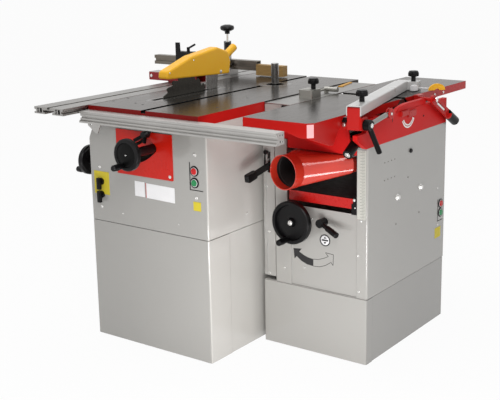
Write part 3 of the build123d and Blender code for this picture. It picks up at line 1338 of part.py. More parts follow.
def outfeed_table():
    """The front table, with a curved front apron, a deep right skirt, a cut corner and hinge eyes."""
    plate = planer_table(JOINT_Y0, CUTTER_Y - LIP_OUT, 1)
    z = TABLE_Z
    x = JOINT_X1
    mid = z - JOINT_RIM / 2
    apron = [(x, mid), (x, z - APRON_H), (x - APRON_BEND, z - APRON_H), (x - APRON_RISE, z - JOINT_RIM),
             (x - 2 * APRON_RISE, z - JOINT_RIM), (x - 2 * APRON_RISE, mid)]
    plate += prism_y(apron, JOINT_Y0, JOINT_Y0 + JOINT_WALL, 6.0)
    skirt = [(JOINT_Y0, mid), (JOINT_Y0, z - APRON_H), (SKIRT_LOW_Y - 8, z - SKIRT_H),
             (SKIRT_LOW_Y + 8, z - SKIRT_H), (SKIRT_UP_Y, z - JOINT_RIM), (SKIRT_UP_Y, mid)]
    plate += prism_x(skirt, JOINT_X1 - JOINT_WALL, JOINT_X1)
    c = JOINT_CORNER
    plate -= prism_z([(x - c, JOINT_Y0 - OVER), (x + OVER, JOINT_Y0 - OVER), (x + OVER, JOINT_Y0 + c)],
                     z - SKIRT_H, z + OVER)
    for y in HINGE_YS:
        plate -= block(JOINT_X0 - OVER, HINGE_X + 16, y - FOLD_ROOM, y + EYE_L + FOLD_ROOM, 0, z - FOLD_SKIN)
        plate += hinge_eye(y, z - FOLD_SKIN + OVER)
    for y in HINGE_YS:
        plate -= rod_y(HINGE_R + RUN_GAP, y - 2 * EAR_T, y + EYE_L + 2 * EAR_T, HINGE_X, HINGE_Z)
    return plate


def carrier_pins():
    return [(JOINT_MID + side * CARRIER_PIN_DX, y) for side in (-1, 1) for y in CARRIER_PIN_YS]


def infeed_table():
    """The rear table, on four pins that run in the folding carrier."""
    plate = planer_table(CUTTER_Y + LIP_IN, JOINT_Y1, -1)
    rim = TABLE_Z - JOINT_RIM
    for x, y in carrier_pins():
        plate += rod_z(CARRIER_PIN_R + 6, rim, TABLE_Z - JOINT_T + OVER, x, y)
        plate += rod_z(CARRIER_PIN_R, CARRIER_Z0 + DEPTH_TRAVEL / 2, rim + OVER, x, y)
    for y in CARRIER_YS:
        plate -= block(JOINT_X0 - OVER, HINGE_X + 30, y - FOLD_ROOM, y + EYE_L + FOLD_ROOM, 0,
                       TABLE_Z - FOLD_SKIN)
    return plate


def infeed_carrier():
    """The folding frame under the infeed table, with bushes for the table's depth pins."""
    y0 = CARRIER_PIN_YS[0] - CARRIER_END
    y1 = CARRIER_PIN_YS[1] + CARRIER_END
    z0 = CARRIER_Z0
    z1 = CARRIER_Z1
    body = block(HINGE_X + 20, JOINT_X1 - 6, y0, y1, z0, z1)
    window = CARRIER_PIN_DX - CARRIER_PIN_R - 2 * CARRIER_MID
    body -= block(JOINT_MID - window, JOINT_MID + window, y0 + 36, y1 - 36, z0 - OVER, z1 + OVER)
    lever_y, lever_z = DEPTH_PIVOT
    half = DEPTH_BOSS_HALF
    outside = DEPTH_BOSS_X + DEPTH_BOSS_T
    body += block(JOINT_X1 - 8, outside, y0, y0 + 2 * half, z0, z1)
    body += block(DEPTH_BOSS_X, outside, y0, y0 + 2 * half, z0, lever_z + half)
    body += block(DEPTH_BOSS_X, outside, lever_y - half, y0 + half, lever_z - half, lever_z + half)
    for y in CARRIER_YS:
        body += hinge_eye(y, HINGE_Z + 6)
        body += block(HINGE_X + 10, HINGE_X + 26, y + SEAT_GAP, y + EYE_L - SEAT_GAP, z0, HINGE_Z)
        body -= rod_y(HINGE_R + RUN_GAP, y - 2 * EAR_T, y + EYE_L + 2 * EAR_T, HINGE_X, HINGE_Z)
    for x, y in carrier_pins():
        body -= rod_z(CARRIER_PIN_R + RUN_GAP, z0 - OVER, z1 + OVER, x, y)
    return body - rod_x(PIVOT_R + RUN_GAP, JOINT_X1, outside + OVER, lever_y, lever_z)


def table_lever(pivot, tip, stud, x_arm, grip_l, slotted):
    """A flat arm on a pivot stud, with a round grip along its outer end."""
    run = hypot(tip[0] - pivot[0], tip[1] - pivot[1])
    along = ((tip[0] - pivot[0]) / run, (tip[1] - pivot[1]) / run)

    def at(distance):
        return (pivot[0] + along[0] * distance, pivot[1] + along[1] * distance)

    x1 = x_arm + LEVER_T
    arm = stadium_x(LEVER_R, x_arm, x1, pivot, tip)
    if slotted:
        arm -= stadium_x(LEVER_SLOT_R, x_arm - OVER, x1 + OVER, at(2 * LEVER_R), at(run - 2.5 * LEVER_R))
    arm += rod_x(PIVOT_R, stud[0], stud[1], *pivot)
    mid = x_arm + LEVER_T / 2
    grip = between(GRIP_R, (mid, *at(run - LEVER_R / 4)), (mid, *at(run + grip_l))) - arm
    return Compound([arm, grip])


def depth_lever():
    stud = (DEPTH_BOSS_X + OVER, DEPTH_ARM_X + LEVER_T + PIVOT_R)
    return table_lever(DEPTH_PIVOT, DEPTH_TIP, stud, DEPTH_ARM_X, DEPTH_GRIP_L, True)


def lock_lever():
    stud = (LATCH_ARM_X, PL_X1 - BLIND - OVER)
    return table_lever(LATCH_PIVOT, LATCH_TIP, stud, LATCH_ARM_X, LATCH_GRIP_L, False)


def bridge(x, y, z):
    """Place something made along +Y into the bridge guard's turned frame."""
    return Pos(BRIDGE_X, BRIDGE_Y, 0) * Rot(0, 0, BRIDGE_TURN) * Pos(x, y, z)


def guard_bracket():
    """The red post on the outfeed table's edge that holds the bridge guard and its clamp."""
    w = BRIDGE_W / 2 - BRIDGE_WALL - SEAT_GAP
    low = HUB_Z - BRACKET_DROP
    post = block(-w, w, OVER, 2 * PIN_Y - OVER, low, PIN_Z) + rod_x(PIN_Y - OVER, -w, w, PIN_Y, PIN_Z)
    body = bridge(0, 0, 0) * post
    body += block(JOINT_X1, BRACKET_X1, HUB_Y - BRACKET_FRONT, HUB_Y + BRACKET_BACK, low, BRACKET_TOP)
    body -= bridge(0, PIN_Y, PIN_Z) * rod_x(PIN_R + RUN_GAP, -BRIDGE_W, BRIDGE_W, 0, 0)
    return body - rod_x(PIVOT_R + RUN_GAP, JOINT_X1 - OVER, BRACKET_X1 + OVER, HUB_Y, HUB_Z)


def bridge_guard():
    """An aluminium channel, open below, with its pivot pin and a wider end block."""
    half = BRIDGE_W / 2
    inner = half - BRIDGE_WALL
    under = BRIDGE_Z1 - BRIDGE_WALL
    channel = block(-half, half, 0, BRIDGE_L, BRIDGE_Z0, BRIDGE_Z1)
    channel = fillet(channel.edges().filter_by(Axis.Y).sort_by(Axis.Z)[-2:], BRIDGE_R)
    channel -= block(-inner, inner, -OVER, BRIDGE_L + OVER, BRIDGE_Z0 - OVER, under)
    channel += block(-inner, inner, BRIDGE_L - END_Y0, BRIDGE_L + END_Y1, BRIDGE_Z0, under)
    channel += block(-inner, END_X1, BRIDGE_L + OVER, BRIDGE_L + END_Y1, BRIDGE_Z0, under)
    channel += rod_x(PIN_R, -half, half, PIN_Y, PIN_Z)
    for x, y in ((0, FRONT_KNOB_Y), (REAR_KNOB_X, REAR_KNOB_Y)):
        channel -= rod_z(KNOB_STUD_R + RUN_GAP, BRIDGE_Z0 - OVER, BRIDGE_Z1 + OVER, x, y)
    return bridge(0, 0, 0) * channel


def guard_front_knob():
    return bridge(0, FRONT_KNOB_Y, BRIDGE_Z1 + SEAT_GAP) * clamp_knob(KNOB_STUD_L)


def guard_rear_knob():
    z = BRIDGE_Z1 - BRIDGE_WALL + SEAT_GAP
    return bridge(REAR_KNOB_X, REAR_KNOB_Y, z) * clamp_knob(KNOB_STUD_L)


def clamp_lever():
    """A two-armed clamping handle on a stud through the guard bracket."""
    x = BRACKET_X1 + SEAT_GAP
    mid = x + 0.6 * HUB_L
    lever = rod_x(HUB_R, x, x + HUB_L, HUB_Y, HUB_Z) + rod_x(PIVOT_R, JOINT_X1 + OVER, x + OVER, HUB_Y, HUB_Z)
    for (dy, dz), r, splay in ((CLAMP_ARM, 8.0, 6.0), (CLAMP_GRIP, 9.0, 8.0)):
        lever += between(r, (mid, HUB_Y, HUB_Z), (mid + splay, HUB_Y + dy, HUB_Z + dz))
    return lever


def gap_plate():
    """A flanged plate that fills the gap between the saw table and the planer tables."""
    under = GAP_Z - GAP_T
    plate = block(GAP_X0, GAP_X1, GAP_Y0, GAP_Y1, under, GAP_Z)
    plate += block(GAP_X0, GAP_X0 + GAP_T, GAP_Y0, GAP_Y1, RIM_Z, under + OVER)
    return plate - rod_z(KNOB_STUD_R + RUN_GAP, under - OVER, GAP_Z + OVER, MOUNT_KNOB_X, MOUNT_KNOB_Y)


def fence_mount():
    """The planer fence's clamp block with a link rod back to its cross tube."""
    corners = [(MOUNT_X0, MOUNT_Y0), (MOUNT_X1, MOUNT_Y0), (MOUNT_X1, MOUNT_Y1), (MOUNT_X0, MOUNT_Y1)]
    body = prism_z(corners, GAP_Z, MOUNT_Z, MOUNT_R)
    groove = MOUNT_Y0 + 2 * MOUNT_R
    floor = MOUNT_Z - MOUNT_R
    body -= block(MOUNT_X0 - OVER, MOUNT_X1 + OVER, groove, groove + MOUNT_R, floor, MOUNT_Z + OVER)
    rod_at = MOUNT_X0 + 3 * LINK_ROD_R
    body += rod_y(LINK_ROD_R, MOUNT_Y1 - OVER, TUBE_Y, rod_at, TUBE_Z)
    body += rod_x(TUBE_R, MOUNT_X0 + TUBE_R, GAP_X1 + 3, TUBE_Y, TUBE_Z)
    body += block(rod_at - TUBE_R / 2, rod_at + TUBE_R / 2, TUBE_Y - TUBE_R, TUBE_Y + TUBE_R, GAP_Z, TUBE_Z)
    return body - rod_z(KNOB_STUD_R + RUN_GAP, GAP_Z - OVER, MOUNT_Z + OVER, MOUNT_KNOB_X, MOUNT_KNOB_Y)


def fence_knob():
    return Pos(MOUNT_KNOB_X, MOUNT_KNOB_Y, MOUNT_Z + SEAT_GAP) * clamp_knob(MOUNT_H + GAP_T + OVER)


def link_panel():
    """The folded panel between the two cabinets, set back at the left, with the feed lever's slot."""
    y0 = PL_FRONT
    y1 = y0 + SHEET
    back = y1 + LINK_RETURN
    panel = block(LINK_X0, PL_X0, y0, y1, LINK_Z0, GREY_TOP)
    for x in (LINK_X0, PL_X0 - SHEET):
        panel += block(x, x + SHEET, y0, back, LINK_Z0, GREY_TOP)
    panel += block(SAW_R, LINK_X0 + SHEET, back - SHEET, back, LINK_Z0, GREY_TOP)
    half = FEED_SLOT_HALF
    z = FEED_PIVOT_Z
    slot = [(FEED_X - half, z - FEED_SLOT_LOW), (FEED_X + half, z - FEED_SLOT_LOW),
            (FEED_X + half, z + FEED_SLOT_HIGH), (FEED_X - half, z + FEED_SLOT_HIGH)]
    panel -= prism_y(slot, y0 - OVER, y1 + OVER, 4.0)
    ear = 2 * PIVOT_R
    left = FEED_X - half + OVER
    panel += block(left - ear, left, y1 - OVER, FEED_PIVOT_Y + ear, z - ear, z + ear)
    return panel + rod_x(PIVOT_R, left - OVER, FEED_X + half + SHEET, FEED_PIVOT_Y, z)


def feed_lever():
    """A flat lever on a pivot behind the link panel, with a broad grip in front."""
    x0 = FEED_X - FEED_T / 2
    x1 = FEED_X + FEED_T / 2
    side = FEED_GRIP_SIDE
    arm = [(FEED_PIVOT_Y + dy, FEED_PIVOT_Z + dz) for dy, dz in FEED_ARM]
    grip = [(FEED_PIVOT_Y + dy, FEED_PIVOT_Z + dz) for dy, dz in FEED_GRIP]
    body = prism_x(arm, x0, x1) + prism_x(grip, x0 - side, x1 + side, side)
    return body - rod_x(PIVOT_R + RUN_GAP, x0 - OVER, x1 + OVER, FEED_PIVOT_Y, FEED_PIVOT_Z)


def planer_motor():
    """The planer's motor on its foot, with the belt pulley."""
    x0 = PL_X0 + 2 * OVER
    foot_x = x0 + (MOTOR_L - MOTOR_FOOT_L) / 2
    foot_z = MOTOR_Z - MOTOR_R - MOTOR_FOOT_DROP
    motor = rod_x(MOTOR_R, x0, x0 + MOTOR_L, MOTOR_Y, MOTOR_Z)
    motor += block(foot_x, foot_x + MOTOR_FOOT_L, MOTOR_Y - MOTOR_FOOT_HALF, MOTOR_Y + MOTOR_FOOT_HALF,
                   foot_z, foot_z + MOTOR_FOOT_H)
    motor += rod_x(DRIVE_SHAFT_R, PULLEY_X, x0 + OVER, MOTOR_Y, MOTOR_Z)
    return motor + rod_x(MOTOR_PULLEY_R, PULLEY_X, PULLEY_X + BELT_W, MOTOR_Y, MOTOR_Z)


def drive_belt():
    return belt_x(PULLEY_X + OVER, PULLEY_X + BELT_W - OVER, (MOTOR_Y, MOTOR_Z), MOTOR_PULLEY_R,
                  (CUTTER_Y, CUTTER_Z), CUTTER_PULLEY_R)


def thickness_table():
    """A ribbed bed with a plain front edge and its lifting column below."""
    y0 = PL_FRONT + PANEL_STEP
    y1 = PL_BACK - THICK_BACK
    z0 = THICK_Z - THICK_H
    w = THICK_WALL
    under = THICK_Z - THICK_T
    bed = block(THICK_X0, THICK_X1, y0, y1, z0, THICK_Z)
    bed -= block(THICK_X0 + w, THICK_X1 - w, y0 + w, y1 - w, z0 - OVER, under)
    bed += rod_z(COLUMN_R + COLUMN_BOSS, z0, under + OVER, COLUMN_X, COLUMN_Y)
    bed += block(THICK_X0 + w, THICK_X1 - w, COLUMN_Y - w / 2, COLUMN_Y + w / 2, z0, under + OVER)
    return bed + rod_z(COLUMN_R, COLUMN_BOTTOM, z0 + OVER, COLUMN_X, COLUMN_Y)


def thickness_handwheel():
    shaft_l = PL_FRONT + SHAFT_REACH - THICK_WHEEL_Y
    wheel = handwheel(THICK_WHEEL_R, THICK_WHEEL_DEPTH, shaft_l, THICK_GRIP_L, THICK_GRIP_TURN)
    return Pos(THICK_WHEEL_X, THICK_WHEEL_Y, THICK_WHEEL_Z) * Rot(90, 0, 0) * wheel


def thickness_lock():
    """The lifting column's clamp: a hub with a slanting handle on a stud through the panel."""
    y = PL_FRONT + PANEL_STEP - SEAT_GAP
    root = y - 0.7 * CLAMP_HUB_L
    hub = rod_y(CLAMP_HUB_R, y - CLAMP_HUB_L, y, CLAMP_X, CLAMP_Z)
    hub += rod_y(LOCK_STUD_R, y - OVER, PL_FRONT + SHAFT_REACH, CLAMP_X, CLAMP_Z)
    return hub + between(8.0, (CLAMP_X, root, CLAMP_Z), (CLAMP_X + 78, root - 26, CLAMP_Z - 25))


def chip_chute():
    """A dust hood under the cutterhead: a round port lofted into a flat box with a mouth on top."""
    turn = radians(PORT_TURN)
    face = Vector(-sin(turn), -cos(turn), 0)
    start = Vector(PORT_X, PORT_Y, PORT_Z)
    along = Vector(cos(turn), -sin(turn), 0)
    collar = Plane(origin=start - face * PORT_L, x_dir=along, z_dir=face)
    box_face = Plane((0, HOOD_FRONT, 0), x_dir=(1, 0, 0), z_dir=(0, -1, 0))
    mid = Pos((HOOD_X0 + HOOD_X1) / 2, (HOOD_Z0 + HOOD_Z1) / 2)
    nearly = 0.999

    def body(t, over):
        width = HOOD_X1 - HOOD_X0 - 2 * t
        height = HOOD_Z1 - HOOD_Z0 - 2 * t
        section = box_face * mid * RectangleRounded(width, height, HOOD_R - t)
        neck = PORT_R - SHOULDER - t
        throat = collar * RectangleRounded(2 * neck, 2 * neck, nearly * neck)
        tunnel = extrude(section, amount=HOOD_FRONT - HOOD_BACK + t)
        pipe = extrude(collar.offset(-over) * Circle(PORT_R - t), amount=PORT_L + 2 * over)
        return tunnel + loft([section, throat]) + pipe

    t = PORT_WALL
    hood = body(0, 0)
    hood += block(HOOD_X0 - RUNNER_W, HOOD_X1 + RUNNER_W, RUNNER_Y + 2 * OVER, HOOD_BACK - 2 * OVER, RUNNER_Z,
                  RUNNER_Z + RUNNER_T)
    hood -= body(t, 2 * OVER)
    mouth = HOOD_BACK - 2 * t - MOUTH_L
    return hood - block(HOOD_X0 + HOOD_R, HOOD_X1 - HOOD_R, mouth, mouth + MOUTH_L, HOOD_Z1 - 2 * t,
                        HOOD_Z1 + OVER)


PARTS = {
    "saw_base_cabinet": saw_base_cabinet,
    "saw_upper_cabinet": saw_upper_cabinet,
    "saw_table": saw_table,
    "table_inserts": table_inserts,
    "front_rail": front_rail,
    "control_plate": control_plate,
    "trunnions": trunnions,
    "tilt_cradle": tilt_cradle,
    "saw_handwheel": saw_handwheel,
    "tilt_lock_lever": tilt_lock_lever,
    "saw_carriage": saw_carriage,
    "saw_arbor": saw_arbor,
    "saw_blade": saw_blade,
    "riving_knife": riving_knife,
    "blade_guard": blade_guard,
    "spindle_guide": spindle_guide,
    "spindle_quill": spindle_quill,
    "spindle_shaft": spindle_shaft,
    "spindle_handwheel": spindle_handwheel,
    "saw_stop_button": lambda: saw_button(STOP_Z),
    "saw_start_button": lambda: saw_button(START_Z),
    "saw_selector": lambda: selector(SELECTOR_ZS[0]),
    "function_selector": lambda: selector(SELECTOR_ZS[1]),
    "slide_rail": slide_rail,
    "sliding_table": sliding_table,
    "crosscut_bar": crosscut_bar,
    "crosscut_fence": crosscut_fence,
    "fence_block": fence_block,
    "hold_down_post": hold_down_post,
    "hold_down_screw": hold_down_screw,
    "fence_stop": fence_stop,
    "planer_base": planer_base,
    "planer_cabinet": planer_cabinet,
    "planer_side_plates": planer_side_plates,
    "planer_stop_button": lambda: planer_button(PLANER_STOP_Z),
    "planer_start_button": lambda: planer_button(PLANER_START_Z),
    "cutterhead": cutterhead,
    "infeed_roller": lambda: feed_roller(CUTTER_Y + ROLLER_DY, 12),
    "outfeed_roller": lambda: feed_roller(CUTTER_Y - ROLLER_DY, 0),
    "outfeed_table": outfeed_table,
    "infeed_table": infeed_table,
    "infeed_carrier": infeed_carrier,
    "depth_lever": depth_lever,
    "lock_lever": lock_lever,
    "guard_bracket": guard_bracket,
    "bridge_guard": bridge_guard,
    "guard_front_knob": guard_front_knob,
    "guard_rear_knob": guard_rear_knob,
    "clamp_lever": clamp_lever,
    "gap_plate": gap_plate,
    "fence_mount": fence_mount,
    "fence_knob": fence_knob,
    "link_panel": link_panel,
    "feed_lever": feed_lever,
    "planer_motor": planer_motor,
    "drive_belt": drive_belt,
    "thickness_table": thickness_table,
    "thickness_handwheel": thickness_handwheel,
    "thickness_lock": thickness_lock,
    "chip_chute": chip_chute,
}

os.makedirs("parts", exist_ok=True)
for node, make in PARTS.items():
    export_step(make(), "parts/" + node + ".step")
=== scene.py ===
import math

import bmesh
import bpy
from mathutils import Matrix, Vector


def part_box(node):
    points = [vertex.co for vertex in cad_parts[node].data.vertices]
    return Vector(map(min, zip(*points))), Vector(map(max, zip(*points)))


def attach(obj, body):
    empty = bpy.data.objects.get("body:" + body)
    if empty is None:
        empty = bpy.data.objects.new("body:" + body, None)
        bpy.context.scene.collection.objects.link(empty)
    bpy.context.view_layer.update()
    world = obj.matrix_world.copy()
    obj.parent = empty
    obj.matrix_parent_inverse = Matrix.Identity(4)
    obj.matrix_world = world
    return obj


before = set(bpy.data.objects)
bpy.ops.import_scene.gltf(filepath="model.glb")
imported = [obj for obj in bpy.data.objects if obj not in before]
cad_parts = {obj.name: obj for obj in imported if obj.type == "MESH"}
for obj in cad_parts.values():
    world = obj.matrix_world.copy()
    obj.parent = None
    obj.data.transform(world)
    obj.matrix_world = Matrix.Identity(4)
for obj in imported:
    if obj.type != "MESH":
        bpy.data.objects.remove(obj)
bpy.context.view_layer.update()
scene = bpy.context.scene
scene.view_settings.view_transform = "Standard"

MM = 0.001
X, Y, Z = Vector((1, 0, 0)), Vector((0, 1, 0)), Vector((0, 0, 1))
# across, up and outward direction of each side that carries details
FRONT, RIGHT, TOP, LEFT = (X, Z, -Y), (Y, Z, X), (X, Y, Z), (-Y, Z, -X)
# where the faces that carry details lie, in millimetres
TABLE_TOP = 870  # z of the ground tables
SAW_FACE = -430  # y of the saw housing's front
PANEL_FACE = -140  # y of the planer's front panel
POST_FACE = -144  # y of the planer's front posts and the link panel
SIDE_FACE = 717  # x of the planer's right side
RAIL_END = 607  # x of the front rail's right end
# a face looks along an axis when its normal's share there is above this
FACING = 0.7
# noise scales that draw tool marks out along one axis
MARKS_X, MARKS_Y, MARKS_Z = (0.03, 1.0, 1.0), (1.0, 0.04, 1.0), (1.0, 1.0, 0.05)


def linear(red, green, blue):
    """A colour written in 0 to 255 screen values, as the shader takes it."""
    return tuple((c / 255) ** 2.2 for c in (red, green, blue)) + (1.0,)


def shade(colour, k):
    return tuple(min(1.0, c * k) for c in colour[:3]) + (1.0,)


class Look:
    """A material whose nodes end in one principled shader, on the object's own coordinates."""

    def __init__(self, name, colour, rough, metal=0.0, **sockets):
        self.mat = bpy.data.materials.new(name)
        self.mat.use_nodes = True
        self.mat.diffuse_color = colour
        self.tree = self.mat.node_tree
        self.shader = self.tree.nodes["Principled BSDF"]
        values = {"Base Color": colour, "Roughness": rough, "Metallic": metal, **sockets}
        for key, value in values.items():
            self.shader.inputs[key].default_value = value
        coords = self.node("TexCoord")
        self.at, self.facing = coords.outputs["Object"], coords.outputs["Normal"]

    def node(self, kind, inputs=(), **settings):
        made = self.tree.nodes.new("ShaderNode" + kind)
        for key, value in settings.items():
            setattr(made, key, value)
        for key, value in dict(inputs).items():
            self.put(made.inputs[key], value)
        return made

    def put(self, socket, value):
        if isinstance(value, bpy.types.NodeSocket):
            self.tree.links.new(value, socket)
        else:
            socket.default_value = value

    def to(self, socket, value):
        self.put(self.shader.inputs[socket], value)

    def noise(self, scale, detail=2.0, stretch=None):
        at = self.at
        if stretch:
            at = self.node("Mapping", {"Vector": self.at, "Scale": stretch}).outputs[0]
        return self.node("TexNoise", {"Vector": at, "Scale": scale, "Detail": detail}).outputs[0]

    def patches(self, scale, detail, low=0.3, high=0.7):
        """Soft patches between 0 and 1."""
        return self.span(self.noise(scale, detail), low, high)

    def span(self, value, low, high, to_low=0.0, to_high=1.0):
        inputs = {"Value": value, "From Min": low, "From Max": high, "To Min": to_low, "To Max": to_high}
        return self.node("MapRange", inputs).outputs[0]

    def math(self, operation, a, b=0.0):
        made = self.node("Math", operation=operation)
        self.put(made.inputs[0], a)
        self.put(made.inputs[1], b)
        return made.outputs[0]

    def over(self, value, limit):
        return self.math("GREATER_THAN", value, limit)

    def under(self, value, limit):
        return self.math("LESS_THAN", value, limit)

    def both(self, *masks):
        out = masks[0]
        for mask in masks[1:]:
            out = self.math("MULTIPLY", out, mask)
        return out

    def either(self, a, b):
        return self.math("MAXIMUM", a, b)

    def mix(self, factor, a, b):
        made = self.node("Mix", data_type="RGBA")
        for index, value in ((0, factor), (6, a), (7, b)):
            self.put(made.inputs[index], value)
        return made.outputs[2]

    def part(self, vector, axis):
        return self.xyz(vector)[axis]

    def xyz(self, vector):
        return self.node("SeparateXYZ", {0: vector}).outputs

    def round_edges(self, radius):
        return self.node("Bevel", {"Radius": radius}, samples=4).outputs[0]

    def edge(self, rounded, low=0.01, high=0.2):
        """1 along an edge and 0 on a flat face."""
        flat = self.node("NewGeometry").outputs["Normal"]
        dot = self.node("VectorMath", {0: rounded, 1: flat}, operation="DOT_PRODUCT").outputs["Value"]
        return self.span(self.math("SUBTRACT", 1.0, dot), low, high)

    def bump(self, height, depth, strength=0.5, normal=None):
        inputs = {"Height": height, "Distance": depth, "Strength": strength}
        if normal:
            inputs["Normal"] = normal
        self.to("Normal", self.node("Bump", inputs).outputs[0])


def paint(name, colour, rough, wear_and_highlight=1.18, coat=0.3, sheen=0.5, right=1.0):
    """Sprayed enamel: broad tone, faint orange peel, hand marks in the gloss, and edges lightened in patches,
    partly rubbed wear and partly a painted highlight.

    The factor right is painted light on the faces that look to +X: above 1 a painted highlight, below 1
    painted shade.
    """
    sockets = {"Coat Weight": coat, "Coat Roughness": 0.08, "Specular IOR Level": sheen}
    g = Look(name, colour, rough, **sockets)
    tone = g.mix(g.patches(2.0, 2.0), shade(colour, 0.97), shade(colour, 1.03))
    if right != 1.0:
        # painted light: faces that look to +X are lightened or darkened by the factor right
        tone = g.mix(g.over(g.part(g.facing, 0), FACING), tone, shade(colour, right))
    rounded = g.round_edges(0.0016)
    # edges lightened in patches: rubbed wear, and a painted highlight along folds and corners
    rub_and_highlight = g.math("MULTIPLY", g.edge(rounded), g.patches(40.0, 4.0, 0.35, 0.7))
    g.to("Base Color", g.mix(rub_and_highlight, tone, shade(colour, wear_and_highlight)))
    g.to("Roughness", g.span(g.noise(11.0, 6.0), 0.3, 0.75, rough - 0.04, rough + 0.06))
    g.bump(g.noise(330.0, 2.0), 0.0005, 0.08, rounded)
    return g


def metal(name, colour, rough, lines=(1.0, 1.0, 1.0), grain=900.0, depth=0.0002, stain=0.08, rim=1.0):
    """Bare metal with tool marks drawn out along the direction whose scale is smallest.

    A rim under 1 dulls the metal where it is seen at a flat angle.
    """
    g = Look(name, colour, rough, 1.0, **{"Specular Tint": (rim, rim, rim, 1.0)})
    marks = g.noise(grain, 3.0, lines)
    cloud = g.patches(7.0, 5.0, high=0.75)
    g.to("Base Color", g.mix(cloud, shade(colour, 1.0 + stain), shade(colour, 1.0 - stain)))
    g.to("Roughness", g.span(marks, 0.25, 0.75, rough - 0.05, rough + 0.07))
    g.bump(marks, depth, 0.2, g.round_edges(0.0008))
    return g


def plastic(name, colour, rough, grain=700.0, bloom=1.2, sheen=0.3):
    """Moulded plastic: fine texture, slight bloom, edges rubbed shiny."""
    g = Look(name, colour, rough, **{"Specular IOR Level": sheen})
    rounded = g.round_edges(0.0012)
    g.to("Base Color", g.mix(g.patches(22.0, 4.0, 0.35, 0.75), colour, shade(colour, bloom)))
    gloss = g.span(g.noise(60.0, 3.0), 0.3, 0.7, rough - 0.05, rough + 0.1)
    g.to("Roughness", g.math("SUBTRACT", gloss, g.math("MULTIPLY", g.edge(rounded), 0.12)))
    g.bump(g.noise(grain, 2.0), 0.0003, 0.2, rounded)
    return g


def two_tone(name, first, second, mask, sheen=0.3):
    """Two finishes on one node. Each is (colour, roughness, metallic), mask(g) is 1 on the second."""
    g = Look(name, *first, **{"Specular IOR Level": sheen})
    where = mask(g)
    cloud = g.patches(9.0, 4.0, high=0.75)
    tones = [g.mix(cloud, shade(kind[0], 0.95), shade(kind[0], 1.06)) for kind in (first, second)]
    g.to("Base Color", g.mix(where, *tones))
    fine = g.span(g.noise(70.0, 3.0), 0.3, 0.7, -0.04, 0.06)
    g.to("Roughness", g.math("ADD", g.span(where, 0.0, 1.0, first[1], second[1]), fine))
    g.to("Metallic", g.span(where, 0.0, 1.0, first[2], second[2]))
    g.bump(g.noise(600.0, 2.0), 0.0003, 0.15, g.round_edges(0.001))
    return g


def ground_table(name, box, grooved):
    """A ground cast-iron top with machining lines and red enamel outside.

    A grooved table has painted shade in its grooves and on its front lip, and bare iron beside the gap plate.
    The others are bare at their lips beside the cutterhead, which carry the same painted shade.
    """
    low, high = box
    top = high[2]
    sockets = {"Specular IOR Level": 0.2, "Specular Tint": (0.72, 0.71, 0.7, 1.0)}
    g = Look(name, IRON, 0.2, 1.0, **sockets)
    x, y, z = g.xyz(g.at)
    across, along_y, up = g.xyz(g.facing)
    bare = g.both(g.over(up, FACING), g.over(z, top - 0.012))
    enamel = g.mix(g.patches(3.0, 3.0), shade(RED, 0.95), shade(RED, 1.05))
    if grooved:
        skin, groove_depth, gap_front = 0.0015, 0.017, -0.095
        inside = g.both(g.over(x, low[0] + skin), g.under(x, high[0] - skin), g.over(y, low[1] + skin),
                        g.under(y, high[1] - skin), g.over(z, top - groove_depth))
        gap_side = g.both(g.over(across, FACING), g.over(y, gap_front))
        bare = g.either(bare, g.either(inside, gap_side))
        # painted shade: faces that look to -Y, the front lip, are darkened to half
        enamel = g.mix(g.under(along_y, -FACING), enamel, shade(RED, 0.5))
    else:
        lip_front, lip_rear, lip_depth, rim = 0.05, 0.34, 0.02, 0.003
        lips = g.both(g.over(y, lip_front), g.under(y, lip_rear), g.over(z, top - lip_depth),
                      g.under(x, high[0] - rim))
        bare = g.either(bare, lips)
    # painted shade: iron below the ground top, in the grooves and at the lips, is darkened to 0.4
    sunk_shade = g.under(z, top - 0.0005)
    marks = g.noise(420.0, 3.0, MARKS_Y)
    cloud = g.patches(3.0, 4.0, high=0.75)
    iron = g.mix(sunk_shade, g.mix(cloud, shade(IRON, 1.08), shade(IRON, 0.9)), shade(IRON, 0.4))
    g.to("Base Color", g.mix(bare, enamel, iron))
    g.to("Metallic", bare)
    g.to("Roughness", g.span(bare, 0.0, 1.0, 0.3, g.span(marks, 0.25, 0.75, 0.17, 0.27)))
    g.bump(marks, 0.0001, 0.12, g.round_edges(0.001))
    return g


def wood(name, colour):
    """Planed wood with rings drawn out along X and darker end grain."""
    g = Look(name, colour, 0.55)
    rings = g.node("TexWave", {"Vector": g.at, "Scale": 55.0, "Distortion": 6.0, "Detail": 3.0},
                   bands_direction="Z").outputs[1]
    grain = g.noise(160.0, 4.0, (0.06, 1.0, 1.0))
    tone = g.math("MULTIPLY", g.span(rings, 0.0, 1.0, 0.25, 1.0), g.span(grain, 0.3, 0.7, 0.6, 1.0))
    g.to("Base Color", g.mix(tone, shade(colour, 0.45), shade(colour, 1.15)))
    g.bump(grain, 0.0004, 0.3, g.round_edges(0.001))
    return g


def scale_look(name, colour):
    """A pale measuring strip with generic ticks every 5 and 10 mm."""
    tick_end = 0.706
    g = Look(name, colour, 0.45)
    x, _, z = g.xyz(g.at)
    rows = []
    for pitch, width, tick_start in ((0.005, 0.0008, 0.694), (0.010, 0.0010, 0.687)):
        row = g.under(g.math("MODULO", z, pitch), width)
        rows.append(g.both(row, g.over(x, tick_start), g.under(x, tick_end)))
    dust = g.mix(g.patches(60.0, 3.0), shade(colour, 0.95), colour)
    g.to("Base Color", g.mix(g.either(*rows), dust, linear(78, 82, 74)))
    g.bump(g.noise(500.0, 2.0), 0.0002, 0.1)
    return g


RED, GREY = linear(180, 32, 29), linear(160, 158, 154)
IRON, CAST, DARK = linear(100, 97, 95), linear(96, 95, 94), linear(16, 15, 16)
CHROME, ALLOY = linear(212, 211, 208), linear(158, 156, 153)
